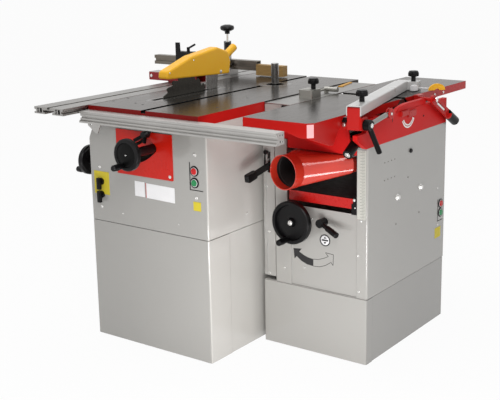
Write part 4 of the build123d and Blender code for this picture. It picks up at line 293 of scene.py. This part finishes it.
# finishes for two-tone nodes: colour, roughness and metallic
RED_COAT, BLACK_COAT, CAST_COAT = (RED, 0.28, 0.0), (DARK, 0.34, 0.0), (CAST, 0.5, 1.0)
LOOK = {
    "grey_paint": paint("grey_enamel", GREY, 0.2, wear_and_highlight=1.3, coat=0.4),
    "red_paint": paint("red_enamel", RED, 0.3, coat=0.05, sheen=0.2),
    "cast_iron": metal("cast_iron", CAST, 0.5, grain=120.0, depth=0.0006),
    "steel": metal("bright_steel", linear(196, 195, 193), 0.2, MARKS_Z),
    "blade_steel": metal("blade_steel", linear(142, 140, 137), 0.26, MARKS_Z, depth=0.0001),
    "aluminium": metal("drawn_aluminium", ALLOY, 0.34, (0.03, 0.03, 1.0), rim=0.8),
    "black_plastic": plastic("black_plastic", DARK, 0.34, sheen=0.2),
    "yellow_plastic": plastic("yellow_plastic", linear(255, 190, 48), 0.36, bloom=1.04),
    "red_plastic": plastic("red_plastic", linear(184, 34, 36), 0.3),
    "green_plastic": plastic("green_plastic", linear(46, 130, 80), 0.3),
    "rubber": plastic("belt_rubber", linear(30, 30, 31), 0.62),
    "wood": wood("wear_wood", linear(176, 140, 84)),
}
zinc = metal("zinc", CHROME, 0.24, grain=400.0)
label = plastic("bare_label", linear(236, 235, 236), 0.5, bloom=0.96)
signal = plastic("yellow_film", linear(204, 186, 56), 0.45, bloom=1.05)
ink = plastic("dark_film", linear(44, 43, 44), 0.45)
pink = plastic("pale_label", linear(236, 176, 178), 0.4, bloom=1.05)
dull_yellow = plastic("dull_yellow", linear(206, 152, 50), 0.45, bloom=1.05)
wheel_black = plastic("wheel_black", linear(12, 12, 12), 0.42, sheen=0.12)
strip = scale_look("scale_strip", linear(186, 186, 178))
# painted light: the saw housing's +X faces are 1.55 times lighter, a painted reflection, and its edges carry
# a stronger painted highlight
saw_grey = paint("saw_enamel", GREY, 0.2, wear_and_highlight=1.45, coat=0.4, right=1.55)
dark_alloy = metal("dark_alloy", linear(112, 108, 103), 0.34)
# nodes with a finish of their own
OWN = {
    "saw_upper_cabinet": saw_grey,
    "saw_base_cabinet": saw_grey,
    # painted shade: the plinth's faces that look to +X are darker by 0.87
    "planer_base": paint("plinth_enamel", GREY, 0.2, wear_and_highlight=1.3, coat=0.4, right=0.87),
    "fence_mount": metal("clamp_alloy", linear(160, 158, 152), 0.42, grain=300.0),
    "table_inserts": metal("insert_iron", linear(132, 129, 126), 0.24, MARKS_Y, rim=0.75),
    "cutterhead": dark_alloy,
    "saw_blade": metal("dark_blade", linear(78, 76, 72), 0.24, MARKS_Z, depth=0.0001),
    "spindle_shaft": metal("spindle_steel", linear(116, 115, 113), 0.14, MARKS_Z),
    "crosscut_fence": metal("fence_alloy", linear(112, 106, 98), 0.34, MARKS_X),
    "bridge_guard": paint("pale_bridge", linear(196, 195, 193), 0.3, coat=0.2),
    "front_rail": metal("rail_alloy", linear(176, 174, 171), 0.46, MARKS_X),
    "planer_side_plates": paint("cast_red", linear(200, 33, 32), 0.4, coat=0.0, sheen=0.1),
    "control_plate": paint("plate_enamel", linear(196, 32, 18), 0.3, coat=0.1, sheen=0.25),
}


def past(axis, limit):
    """A mask that is 1 where a coordinate in metres is over a limit."""
    return lambda g: g.over(g.part(g.at, axis), limit)


def short_of(axis, limit):
    """A mask that is 1 where a coordinate in metres is under a limit."""
    return lambda g: g.under(g.part(g.at, axis), limit)


def where_both(first, second):
    return lambda g: g.both(first(g), second(g))


def on_top(g):
    """1 on the faces that look up."""
    return g.over(g.part(g.facing, 2), FACING)


def chute_inner_shade(g):
    """1 on the chute's inner walls past its collar, whose normals look towards the passage's middle; these
    walls get painted shade.
    """
    port_y, middle_x, middle_z = -0.25, 0.452, 0.664
    lean_x, lean_z = 0.22, 0.07
    wall_y, shoulder_y = -0.212, -0.232
    x, y, z = g.xyz(g.at)
    nx, ny, nz = g.xyz(g.facing)
    reach = g.math("SUBTRACT", y, port_y)
    off_x = g.math("SUBTRACT", g.math("SUBTRACT", x, middle_x), g.math("MULTIPLY", reach, lean_x))
    off_z = g.math("SUBTRACT", g.math("SUBTRACT", z, middle_z), g.math("MULTIPLY", reach, lean_z))
    outward = g.math("ADD", g.math("MULTIPLY", off_x, nx), g.math("MULTIPLY", off_z, nz))
    shoulder = g.both(g.under(ny, -0.9), g.over(y, shoulder_y))
    return g.either(g.both(g.under(outward, 0.0), g.over(y, wall_y)), shoulder)


# nodes with two finishes, told apart by where a point lies or looks
TONES = {
    # painted shade: the chute's inner walls are near black
    "chip_chute": ((linear(196, 56, 42), 0.1, 0.0), (linear(22, 15, 15), 0.6, 0.0), chute_inner_shade, 0.7),
    "infeed_carrier": (CAST_COAT, RED_COAT, past(0, 0.655)),
    "hold_down_post": (BLACK_COAT, (ALLOY, 0.34, 1.0), short_of(2, 0.955)),
    "tilt_cradle": (CAST_COAT, BLACK_COAT, short_of(1, -0.43)),
    # painted shade and a painted reflection of the dark inside: the thickness table's ground top is dark grey
    "thickness_table": (RED_COAT, (linear(46, 45, 45), 0.4, 0.6), on_top),
    "crosscut_bar": ((linear(150, 40, 42), 0.3, 0.0), (ALLOY, 0.36, 1.0), on_top),
    "hold_down_screw": (BLACK_COAT, (CHROME, 0.16, 1.0), where_both(past(2, 0.9165), short_of(2, 1.0455))),
    "depth_lever": (RED_COAT, BLACK_COAT, past(1, 0.4085), 0.12),
    "clamp_lever": (BLACK_COAT, (linear(138, 136, 133), 0.2, 1.0),
                    where_both(past(1, -0.172), past(2, 0.834)), 0.12),
}
GROUND = ("saw_table", "outfeed_table", "infeed_table")
for name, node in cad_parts.items():
    own = node.material_slots[0].material.name
    if name in TONES:
        look = two_tone(name + "_finish", *TONES[name])
    elif name in GROUND:
        look = ground_table(name + "_finish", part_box(name), name == "saw_table")
    elif name in OWN:
        look = OWN[name]
    else:
        look = LOOK[own if own in LOOK else own.split(".")[0]]
    node.material_slots[0].material = look.mat


def side_at(side, x, y, z):
    """A placing at a point in millimetres, with a side's across, up and outward axes."""
    place = Matrix(side).transposed().to_4x4()
    place.translation = Vector((x, y, z)) * MM
    return place


def along(start, end):
    """A placing at a point whose outward axis runs to another point, and their distance."""
    run = Vector(end) - Vector(start)
    place = run.to_track_quat("Z", "Y").to_matrix().to_4x4()
    place.translation = Vector(start) * MM
    return place, run.length


class Detail:
    """A small piece built in one mesh. Sizes are in millimetres on a placing."""

    def __init__(self):
        self.bm = bmesh.new()

    def vert(self, place, x, y, h):
        return self.bm.verts.new(place @ (Vector((x, y, h)) * MM))

    def lathe(self, place, profile, sides=28):
        """A turned form about the outward axis, from (radius, height) points."""
        rings = []
        for r, h in profile:
            count = sides if r else 1
            turns = [2 * math.pi * (k + 0.5) / sides for k in range(count)]
            rings.append([self.vert(place, r * math.cos(t), r * math.sin(t), h) for t in turns])
        for a, b in zip(rings, rings[1:]):
            for k in range(sides):
                n = (k + 1) % sides
                corners = [a[k % len(a)], a[n % len(a)], b[n % len(b)], b[k % len(b)]]
                self.bm.faces.new(list(dict.fromkeys(corners)))
        for ring in (rings[0], rings[-1]):
            if len(ring) > 1:
                self.bm.faces.new(ring)
        return self

    def slab(self, place, outline, low, high, soft=0.4):
        """A plate with the outline's (across, up) corners and a softened face."""
        rows = [[self.vert(place, x, y, h) for x, y in outline] for h in (low, high)]
        self.bm.faces.new(rows[0])
        face = self.bm.faces.new(rows[1])
        count = len(outline)
        for k in range(count):
            n = (k + 1) % count
            self.bm.faces.new((rows[0][k], rows[0][n], rows[1][n], rows[1][k]))
        bmesh.ops.bevel(self.bm, geom=face.edges[:], offset=soft * MM, segments=2, affect="EDGES")
        return self

    def box(self, place, across, up, low, high, soft=0.4):
        """A plate between two places across, two places up and two heights."""
        (x0, x1), (y0, y1) = across, up
        return self.slab(place, ((x0, y0), (x1, y0), (x1, y1), (x0, y1)), low, high, soft)

    def arc(self, place, radii, angles, low, high, soft=0.4, squash=1.0):
        """A curved band between two radii and two angles in degrees."""
        (r0, r1), (start, end) = radii, angles
        steps = max(4, int(abs(end - start) / 8))
        turns = [math.radians(start + (end - start) * k / steps) for k in range(steps + 1)]
        rim = [(r1 * math.cos(t), squash * r1 * math.sin(t)) for t in turns]
        rim += [(r0 * math.cos(t), squash * r0 * math.sin(t)) for t in reversed(turns)]
        return self.slab(place, rim, low, high, soft)

    def rod(self, start, end, r, sides=16):
        """A round bar between two points, with chamfered ends."""
        place, length = along(start, end)
        c = 0.2 * r
        return self.lathe(place, ((r - c, 0), (r, c), (r, length - c), (r - c, length)), sides)

    def ring(self, place, inner, outer, height):
        """A square-edged ring whose middle is closed just above its foot."""
        floor = 0.5
        return self.lathe(place, ((inner, 0), (outer, 0), (outer, height), (inner, height), (inner, floor)))

    def screw(self, place, r, h):
        """A pan head with a recessed drive."""
        return self.lathe(place, ((r, 0), (r, 0.5 * h), (0.8 * r, h), (0.45 * r, h), (0.4 * r, 0.4 * h),
                                  (0, 0.35 * h)), 20)

    def screws(self, side, places, r, h):
        for x, y, z in places:
            self.screw(side_at(side, x, y, z), r, h)
        return self

    def nut(self, place, r, h, bore=0.5):
        """A hexagon nut with a turned chamfer and a stud end."""
        self.lathe(place, ((r, 0), (r, 0.85 * h), (0.9 * r, h), (bore * r, h)), 6)
        return self.lathe(place, ((bore * r, 0), (bore * r, 1.15 * h), (0.8 * bore * r, 1.25 * h)), 14)

    def add(self, name, look, body, slot):
        mesh = bpy.data.meshes.new(name)
        bmesh.ops.recalc_face_normals(self.bm, faces=self.bm.faces[:])
        self.bm.to_mesh(mesh)
        self.bm.free()
        mesh.polygons.foreach_set("use_smooth", [True] * len(mesh.polygons))
        mesh.set_sharp_from_angle(angle=math.radians(32))
        mesh.materials.append(look.mat)
        piece = bpy.data.objects.new(name, mesh)
        scene.collection.objects.link(piece)
        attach(piece, body)


# thickness of labels, lines and signs in millimetres, and how far their edges are softened
LABEL_T, LINE_T, SIGN_T, THIN = 0.4, 0.5, 0.6, 0.1
# radii of a push button's rim and of the hole in its collar
RIM_IN, RIM_OUT, COLLAR_IN = 11.6, 13.4, 13.5


def saw_front():
    """Switch plate, button collars with a painted shadow gap, bare labels and screws on the saw's front."""
    y = SAW_FACE
    place = side_at(FRONT, 0, y, 0)
    buttons = [side_at(FRONT, 218, y, z) for z in (676, 636)]
    plate = Detail().box(place, (-252, -178), (541, 625), 0, 0.8)
    plate.add("switch_plate", signal, "frame", "yellow_plastic")
    # painted shadow: two dark strips at the box's left and bottom stand for a shadow gap
    lines = Detail().box(place, (196, 199.5), (610, 705), 0, LINE_T, soft=THIN)
    lines.box(place, (196, 253), (609, 612), 0, LINE_T, soft=THIN)
    collar = ((COLLAR_IN, 0), (18, 0), (18, 2), (16.5, 3.5), (COLLAR_IN, 3.5), (COLLAR_IN, 0.5))
    for button in buttons:
        lines.lathe(button, collar)
    lines.add("button_collars_and_shadow_gap", LOOK["black_plastic"], "frame", "black_plastic")
    rims = Detail()
    for button in buttons:
        rims.ring(button, RIM_IN, RIM_OUT, 4)
    rims.add("button_rims", label, "frame", "aluminium")
    tag = Detail().box(place, (209, 242), (539.5, 571), 0, LINE_T, soft=0.2)
    tag.add("yellow_tag", signal, "frame", "yellow_plastic")
    bare = Detail().box(place, (-55, -9), (556, 610), 0, LABEL_T, soft=0.15)
    bare.slab(place, ((-1, 555), (128, 552.5), (128, 606), (-1, 608)), 0, LABEL_T, soft=0.15)
    bare.add("bare_labels", label, "frame", "grey_paint")
    line = Detail().box(place, (-4, -1.6), (555, 608), 0, LABEL_T, soft=THIN)
    line.add("label_line", LOOK["red_plastic"], "frame", "red_plastic")
    corners = ((-222, y, 640), (-220, y, 494), (220.5, y, 732), (223, y, 584))
    screws = Detail().screws(FRONT, corners, 6.0, 2.2)
    screws.screws(FRONT, ((-116, y, 482), (142, y, 480)), 2.6, 0.9)
    screws.screw(side_at(FRONT, 112, y - 3, 643.5), 6.0, 1.6)
    screws.screw(side_at(RIGHT, 270, -211, 489), 3.4, 1.6)
    screws.add("cabinet_screws", zinc, "frame", "steel")
    for name, body, z in (("upper_grip", "upper_selector", 588), ("lower_grip", "lower_selector", 540)):
        grip = Detail().box(side_at(FRONT, -216, y - 9, z), (-7, 7), (-27, 15), 0, 14, soft=2.5)
        grip.add(name, LOOK["black_plastic"], body, "black_plastic")


def saw_top():
    """Levelling screws in the table, bolts on the guard, bars and wheels."""
    spots = ((-210, -355), (-210, -280), (-105, -353), (-61, -365), (208, -285), (170, -60))
    dots = Detail().screws(TOP, [(x, y, TABLE_TOP) for x, y in spots], 5.0, 0.4)
    dots.add("levelling_screws", ink, "frame", "cast_iron")
    bolts = Detail().screws(RIGHT, ((-66, -71, 995), (-66, -209, 962)), 3.2, 1.5)
    bolts.nut(side_at(RIGHT, -66, 88, 936), 7.0, 4.0).nut(side_at(LEFT, -112, 88, 936), 7.0, 4.0)
    bolts.add("guard_bolts", zinc, "guard", "steel")
    bar = Detail().nut(side_at(FRONT, -444, 115, 894), 6.5, 4.0).nut(side_at(FRONT, -372, 115, 894), 5.0, 3.0)
    bar.add("bar_bolts", zinc, "slider", "steel")
    for name, body, place, size in (
        ("rise_wheel_cap", "rise_wheel", side_at(FRONT, 38, -567, 735), 2.6),
        ("spindle_wheel_cap", "spindle_wheel", side_at(LEFT, -337, -371, 645), 2.6),
        ("thickness_wheel_cap", "thickness_wheel", side_at(FRONT, 442, -196.4, 475), 9.0),
    ):
        cap = Detail().lathe(place, ((size, 0), (size, 1.2), (0.85 * size, 1.8), (0.6 * size, 1.8)))
        cap.nut(place, 0.62 * size, 5.0 * size / 11).add(name, zinc, body, "steel")
    for name, body, place in (
        ("rise_wheel_face", "rise_wheel", side_at(FRONT, 38, -558, 735)),
        ("spindle_wheel_face", "spindle_wheel", side_at(LEFT, -328, -371, 645)),
    ):
        face = Detail().lathe(place, ((38.3, 0.3), (41.2, 7.4), (39, 8.4), (20, 9.0), (0, 9.2)), 48)
        face.add(name, wheel_black, body, "black_plastic")


def rail_end():
    """Webs with round screw channels in the front rail's open end, whose mouths are closed by dark discs of
    painted shade.
    """
    end = side_at(RIGHT, RAIL_END, 0, 0)
    webs = Detail()
    for low, high in ((834, 850), (818, 830)):
        webs.box(end, (-496, -471), (low, high), -8, -0.4)
    port_shade = Detail()
    for y, z, r in ((-504.5, 846, 2.6), (-490, 845, 3.0), (-478, 844, 3.0), (-489, 825, 3.6),
                    (-477, 823, 2.6), (-503, 818.5, 2.6)):
        place = side_at(RIGHT, RAIL_END, y, z)
        webs.lathe(place, ((r, -1), (r + 1.2, -1), (r + 1.2, 0.3), (r + 0.8, 0.6), (r, 0.6), (r, -0.5)))
        # painted shade: a dark disc closes each screw channel's mouth
        port_shade.lathe(place, ((r, -1), (r, 0.2), (0.7 * r, 0), (0, -0.1)), 20)
    webs.add("rail_webs", OWN["front_rail"], "frame", "aluminium")
    port_shade.add("rail_port_shade", ink, "frame", "black_plastic")


def slider_end():
    """An upright web with a screw channel beside it in each of the sliding table's chambers."""
    (low, front, _), (high, _, top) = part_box("sliding_table")
    low, high, front, top = low / MM, high / MM, front / MM, top / MM
    chamber_in, chamber_out, wall, depth = 14, 38, 4, 30
    end = side_at(FRONT, 0, front, 0)
    webs = Detail()
    for x in (low + chamber_in, high - chamber_out):
        webs.box(end, (x + 10.5, x + 13.5), (top - 20, top - wall), -depth, -0.4)
        channel = side_at(FRONT, x + 5.2, front, top - 12)
        webs.lathe(channel, ((3.2, -depth), (5.4, -depth), (5.4, -0.8), (5.0, -0.4), (3.2, -0.4),
                             (3.2, 1 - depth)))
    webs.add("slider_webs", LOOK["aluminium"], "slider", "aluminium")


def planer_front():
    """Scale strip with its pointer, lift signs, chute rivet and the link panel's knob."""
    face = side_at(FRONT, 0, POST_FACE, 0)
    panel = side_at(FRONT, 0, PANEL_FACE, 0)
    scale = Detail().box(face, (677, 709), (512, 747), 0, SIGN_T, soft=0.2)
    scale.add("scale_strip", strip, "frame", "aluminium")
    pointer = Detail().box(panel, (654, 674), (524, 560), 0, 4).box(panel, (661, 672), (556, 584), 1, 5)
    pointer.add("scale_pointer", LOOK["black_plastic"], "thickness_bed", "black_plastic")
    nuts = Detail().nut(side_at(FRONT, 666.5, PANEL_FACE - 5, 575), 5.5, 3.0)
    nuts.screw(side_at(FRONT, 668, PANEL_FACE - 4, 548), 3.0, 1.2)
    nuts.add("pointer_nuts", zinc, "thickness_bed", "steel")
    lift_sign(side_at(FRONT, 548, PANEL_FACE, 416))
    turn_sign(side_at(FRONT, 500, PANEL_FACE, 418))
    on_panel = ((493, 484), (462, 302))
    on_posts = ((380.5, 288.5), (681, 384), (683, 257), (691, 506), (308, 577), (316, 413), (316, 258))
    dots = Detail().screws(FRONT, [(x, PANEL_FACE, z) for x, z in on_panel], 4.0, 1.2)
    dots.screws(FRONT, [(x, POST_FACE, z) for x, z in on_posts], 4.5, 1.2)
    dots.add("front_screws", zinc, "frame", "steel")
    rivet = Detail().lathe(side_at(TOP, 521, -116, 722), ((4, 0), (4, 1.5), (3, 3.5), (0, 4.2)), 16)
    rivet.add("chute_rivet", zinc, "chute", "steel")
    grip = ((5, 0), (5, 5), (8, 7), (9, 11), (7, 14), (0, 15))
    knob = Detail().lathe(side_at(FRONT, 313, POST_FACE, 702), grip)
    for start, end in (((305, -147, 690), (303, -147, 634)), ((313, -147, 697), (305, -147, 690))):
        knob.rod(start, end, 2.4, 10)
    knob.add("panel_knob", LOOK["black_plastic"], "frame", "black_plastic")
    folds = Detail()
    for x in (298, 306):
        folds.box(face, (x, x + 2.4), (262, 640), 0, 1.6, soft=0.5)
    folds.add("panel_folds", LOOK["grey_paint"], "frame", "grey_paint")
    flange = Detail().box(side_at(FRONT, 0, -94, 0), (273, 342), (800, 862), 0, 3)
    flange.add("gap_flange", LOOK["grey_paint"], "frame", "grey_paint")


def lift_sign(place):
    """A bare white disc with a dark ring, a bar and an arrow up and down."""
    disc = Detail().lathe(place, ((20.5, 0), (20.5, 0.2), (20.2, 0.3), (0, 0.3)), 40)
    disc.add("lift_disc", label, "frame", "grey_paint")
    sign = Detail()
    for half in ((0, 180), (180, 360)):
        sign.arc(place, (17, 21), half, 0, SIGN_T, soft=THIN)
    sign.box(place, (-13, 13), (-2.8, 2.8), 0, SIGN_T, soft=THIN)
    for s in (1, -1):
        sign.slab(place, ((-6, s * 6), (6, s * 6), (0, s * 14))[::s], 0, SIGN_T, soft=THIN)
    sign.add("lift_sign", ink, "frame", "black_plastic")


def turn_sign(place):
    """A curved double arrow without words: its left half dark, its right half in outline."""
    left = ((-82, -51), (-48, -48), (-58, -60), (-40, -69), (-22, -75), (0, -78), (0, -103), (-26, -101),
            (-50, -92), (-69, -78), (-78, -89))
    right = ((0, -78), (22, -75), (44, -67), (61, -58), (50, -46), (82, -48), (80, -87), (72, -77), (50, -92),
             (26, -101), (0, -103))
    half_line = 0.8
    dark = Detail().slab(place, left, 0, LABEL_T, soft=THIN)
    for (x0, z0), (x1, z1) in zip(right, right[1:]):
        dx, dz = Vector((z0 - z1, x1 - x0)).normalized() * half_line
        stroke = ((x0 - dx, z0 - dz), (x1 - dx, z1 - dz), (x1 + dx, z1 + dz), (x0 + dx, z0 + dz))
        dark.slab(place, stroke, 0, LABEL_T, soft=THIN)
    dark.add("turn_sign", ink, "frame", "black_plastic")


def planer_right():
    """Plug, screws, button collars with a painted shadow gap, curved scale and lugs on the planer's right
    side.
    """
    x = SIDE_FACE
    side = side_at(RIGHT, x, 0, 0)
    buttons = [side_at(RIGHT, x, 404, z) for z in (451, 416)]
    plug = Detail().lathe(side_at(RIGHT, x, 154, 696.5), ((8, 0), (8, 3), (6.5, 6), (3, 6), (2.5, 4), (0, 4)))
    plug.screw(side_at(RIGHT, x, 250, 806), 3.5, 1.5)
    plug.box(side, (16.5, 20.5), (818, 834), 0, LINE_T, soft=THIN)
    for button in buttons:
        plug.lathe(button, ((COLLAR_IN, 0), (17, 0), (17, 2.5), (COLLAR_IN, 3), (COLLAR_IN, 0.5)))
    # painted shadow: two dark strips at the box's left and bottom stand for a shadow gap
    plug.box(side, (381, 384), (386, 470), 0, LINE_T, soft=THIN)
    plug.box(side, (381, 424), (384, 387), 0, LINE_T, soft=THIN)
    plug.add("side_plugs", LOOK["black_plastic"], "frame", "black_plastic")
    screws = Detail()
    for y, z in ((60, 548), (233.5, 548.5)):
        bolt = side_at(RIGHT, x, y, z)
        screws.lathe(bolt, ((12, 0), (12, 1.2), (11, 1.8), (8, 1.8))).nut(bolt, 9.0, 9.0)
    screws.screws(RIGHT, ((x, 378, 514), (x, 386, 372)), 3.4, 1.6)
    screws.add("side_screws", zinc, "frame", "steel")
    studs = Detail().screws(RIGHT, ((x, 54, 453), (x, 229, 456), (x, 139, 604)), 3.0, 1.0)
    for z in (687, 626):
        studs.screws(RIGHT, [(x, y, z) for y in (-32, -8, 16, 39)], 2.4, 0.8)
    studs.add("side_studs", dark_alloy, "frame", "steel")
    rims = Detail()
    for button in buttons:
        rims.ring(button, RIM_IN, RIM_OUT, 3.4)
    rims.add("side_rims", label, "frame", "aluminium")
    arcs = Detail()
    for r in (36, 44):
        arcs.arc(side_at(RIGHT, x, 132, 830), (r, r + 5), (205, 335), 0, 1.2, soft=0.3)
    arcs.add("curved_scale", zinc, "frame", "aluminium")
    lugs = Detail().box(side, (72, 124), (828, 846), 0, 9, soft=2.0)
    lugs.box(side, (128, 184), (818, 840), 0, 6, soft=2.0)
    lugs.add("side_lugs", LOOK["red_paint"], "frame", "red_paint")
    tag = Detail().box(side, (362, 410), (322, 362), 0, LINE_T, soft=0.2)
    tag.add("side_tag", signal, "frame", "yellow_plastic")


def planer_top():
    """Fittings of the levers and tables, the bracket's wedge, a bare corner label and a filler strip."""
    hub = Detail().nut(side_at(RIGHT, 753.3, -192, 842), 9.0, 5.0)
    hub.rod((744, -66, 862), (761, -66, 862), 5.5).add("clamp_nuts", zinc, "bridge_clamp", "steel")
    eye = Detail()
    for x in (746, 756):
        eye.lathe(side_at(RIGHT, x, -68, 863), ((6, 0), (17, 0), (18, 2), (17, 5), (6, 5), (6, 0.3)))
    eye.add("clamp_clevis", LOOK["red_paint"], "bridge_clamp", "red_paint")
    place, _ = along((680.5, -215, 742.2), (680.5, -223.5, 737))
    latch = Detail().lathe(place, ((9, 0), (10, 0.4), (10, 1.6), (8, 2.2), (6, 2.2))).nut(place, 6.5, 4.0)
    latch.add("latch_nut", zinc, "table_lock", "steel")
    bracket = side_at(FRONT, 0, -214, 0)
    wedge = Detail().slab(bracket, ((663, 850), (680, 850), (680, 866), (668, 866)), 0, 9, soft=1.0)
    wedge.add("bracket_wedge", LOOK["black_plastic"], "outfeed", "black_plastic")
    fittings = Detail().nut(side_at(FRONT, 669, -214, 841), 8.0, 6.0)
    fittings.screws(RIGHT, ((660, 453, 851), (660, 526, 851)), 5.0, 3.0)
    fittings.add("table_fittings", zinc, "outfeed", "steel")
    corner = (Vector((1, 1, 0)).normalized(), Z, Vector((1, -1, 0)).normalized())
    bare = Detail().box(side_at(corner, 651, -389, 0), (-11, 11), (824, 866), -0.2, 0.9, soft=0.2)
    bare.add("corner_label", pink, "outfeed", "grey_paint")
    inset = Detail().rod((735.5, 314, 844.3), (735.5, 372, 811.8), 5.2)
    inset.nut(side_at(RIGHT, 747, 286, 860), 9.0, 5.0).add("depth_lever_bar", zinc, "depth_arm", "steel")
    outline = ((292, 366), (310, 372), (284, 490), (272, 488))
    filler = Detail().slab(side_at(TOP, 0, 0, TABLE_TOP - 4), outline, 0, 3.6, soft=1.0)
    filler.add("filler_strip", dull_yellow, "frame", "yellow_plastic")


def cutter_cover():
    """The red cover over the cutterhead's right end, standing on the side plate's top edge."""
    outline = ((40, 845.5), (268, 845.5), (268, 858), (252, 867), (110, 867), (66, 860))
    cover = Detail().slab(side_at(RIGHT, 700.5, 0, 0), outline, 0, 16, soft=1.5)
    cover.add("cutter_cover", OWN["planer_side_plates"], "frame", "red_paint")


def bridge_rear():
    """The bridge guard's rear bracket, its thin rod and the yellow half disc at the rod's end."""
    plate = ((603, 366), (620, 361), (626, 384), (609, 389))
    pale = Detail().slab(side_at(TOP, 0, 0, 0), plate, 873, 893, soft=2.0)
    pale.rod((612, 398, 880), (672, 406, 880), 2.6)
    pale.add("bridge_bracket", label, "bridge", "aluminium")
    run = Vector((42, 52, 0)).normalized()
    upright = side_at((run, Z, run.cross(Z)), 684, 421, 873)
    disc = Detail().arc(upright, (9, 33), (0, 180), -4, 4, soft=1.5, squash=0.75)
    disc.add("bridge_tip", LOOK["yellow_plastic"], "bridge", "yellow_plastic")


def clamp_sleeve():
    """The black sleeve on the arm of the thicknessing table's clamp."""
    sleeve = Detail().rod((577, -174.4, 472), (626, -190.7, 456.4), 10.5)
    sleeve.add("clamp_sleeve", LOOK["black_plastic"], "thickness_clamp", "black_plastic")


for make in (saw_front, saw_top, rail_end, slider_end, planer_front, planer_right, planer_top, cutter_cover,
             bridge_rear, clamp_sleeve):
    make()


def white_floor():
    """A floor that looks white to the camera and to reflections, and keeps the machine's shadow."""
    glow = 0.94
    bm = bmesh.new()
    bmesh.ops.create_grid(bm, x_segments=4, y_segments=4, size=30.0)
    mesh = bpy.data.meshes.new("floor")
    bm.to_mesh(mesh)
    bm.free()
    floor = bpy.data.objects.new("floor", mesh)
    scene.collection.objects.link(floor)
    g = Look("floor_white", (0.9, 0.9, 0.9, 1.0), 0.8)
    cloud = g.patches(0.7, 3.0)
    g.to("Base Color", g.mix(cloud, (0.89, 0.89, 0.89, 1), (0.92, 0.92, 0.92, 1)))
    path = g.node("LightPath")
    seen = g.either(path.outputs["Is Camera Ray"], path.outputs["Is Glossy Ray"])
    seen = g.either(seen, path.outputs["Is Transmission Ray"])
    white = g.node("Emission", {"Color": (1, 1, 1, 1), "Strength": 1.0})
    blend = g.node("MixShader", {0: g.math("MULTIPLY", seen, glow)})
    g.put(blend.inputs[1], g.shader.outputs[0])
    g.put(blend.inputs[2], white.outputs[0])
    g.put(g.tree.nodes["Material Output"].inputs["Surface"], blend.outputs[0])
    mesh.materials.append(g.mat)


def white_room():
    """A world that is white to the camera and to reflections, and a dimmer fill light to the rest."""
    fill, white = 0.46, 1.0
    world = bpy.data.worlds.new("studio")
    world.use_nodes = True
    scene.world = world
    tree = world.node_tree
    path = tree.nodes.new("ShaderNodeLightPath")
    seen = path.outputs["Is Camera Ray"]
    for other in ("Is Glossy Ray", "Is Transmission Ray"):
        most = tree.nodes.new("ShaderNodeMath")
        most.operation = "MAXIMUM"
        tree.links.new(seen, most.inputs[0])
        tree.links.new(path.outputs[other], most.inputs[1])
        seen = most.outputs[0]
    level = tree.nodes.new("ShaderNodeMapRange")
    level.inputs["To Min"].default_value = fill
    level.inputs["To Max"].default_value = white
    tree.links.new(seen, level.inputs["Value"])
    back = tree.nodes["Background"]
    back.inputs["Color"].default_value = (1, 1, 1, 1)
    tree.links.new(level.outputs[0], back.inputs["Strength"])


def lamps():
    """A broad key from the front right, a soft top light and a low one that lifts the front."""
    for name, at, aim, size, watts in (
        ("key", (2.6, -2.8, 2.9), (0.3, -0.2, 0.5), (1.8, 1.8), 50.0),
        ("top", (-0.6, 0.2, 3.6), (0.1, 0.0, 0.8), (2.4, 2.4), 36.0),
        ("low", (0.9, -1.06, 0.12), (0.25, -0.22, 0.62), (0.9, 0.2), 7.4),
    ):
        lamp = bpy.data.lights.new(name, "AREA")
        lamp.shape = "RECTANGLE"
        lamp.size, lamp.size_y = size
        lamp.energy = watts
        stand = bpy.data.objects.new(name, lamp)
        scene.collection.objects.link(stand)
        stand.location = at
        stand.rotation_euler = (Vector(aim) - Vector(at)).to_track_quat("-Z", "Y").to_euler()


def camera():
    """The photograph's camera, as fitted to the machine's edges in its pixels."""
    width, height, focal = 500, 400, 998.2
    centre_x, centre_y = 256.1, 174.1
    eye = (2.293, -2.932, 1.408)
    yaw, pitch, roll = (math.radians(a) for a in (36.05, 12.94, -1.02))
    ahead = Vector((-math.sin(yaw) * math.cos(pitch), math.cos(yaw) * math.cos(pitch), -math.sin(pitch)))
    right = Vector((math.cos(yaw), math.sin(yaw), 0.0))
    up = right.cross(ahead)
    across = math.cos(roll) * right + math.sin(roll) * up
    above = math.cos(roll) * up - math.sin(roll) * right
    data = bpy.data.cameras.new("camera")
    data.sensor_width = 36.0
    data.lens = data.sensor_width * focal / width
    data.shift_x, data.shift_y = (width / 2 - centre_x) / width, (centre_y - height / 2) / width
    data.clip_end = 100.0
    stand = bpy.data.objects.new("camera", data)
    scene.collection.objects.link(stand)
    turn = Matrix((across, above, -ahead)).transposed().to_4x4()
    stand.matrix_world = Matrix.Translation(eye) @ turn
    scene.camera = stand


white_floor()
white_room()
lamps()
camera()
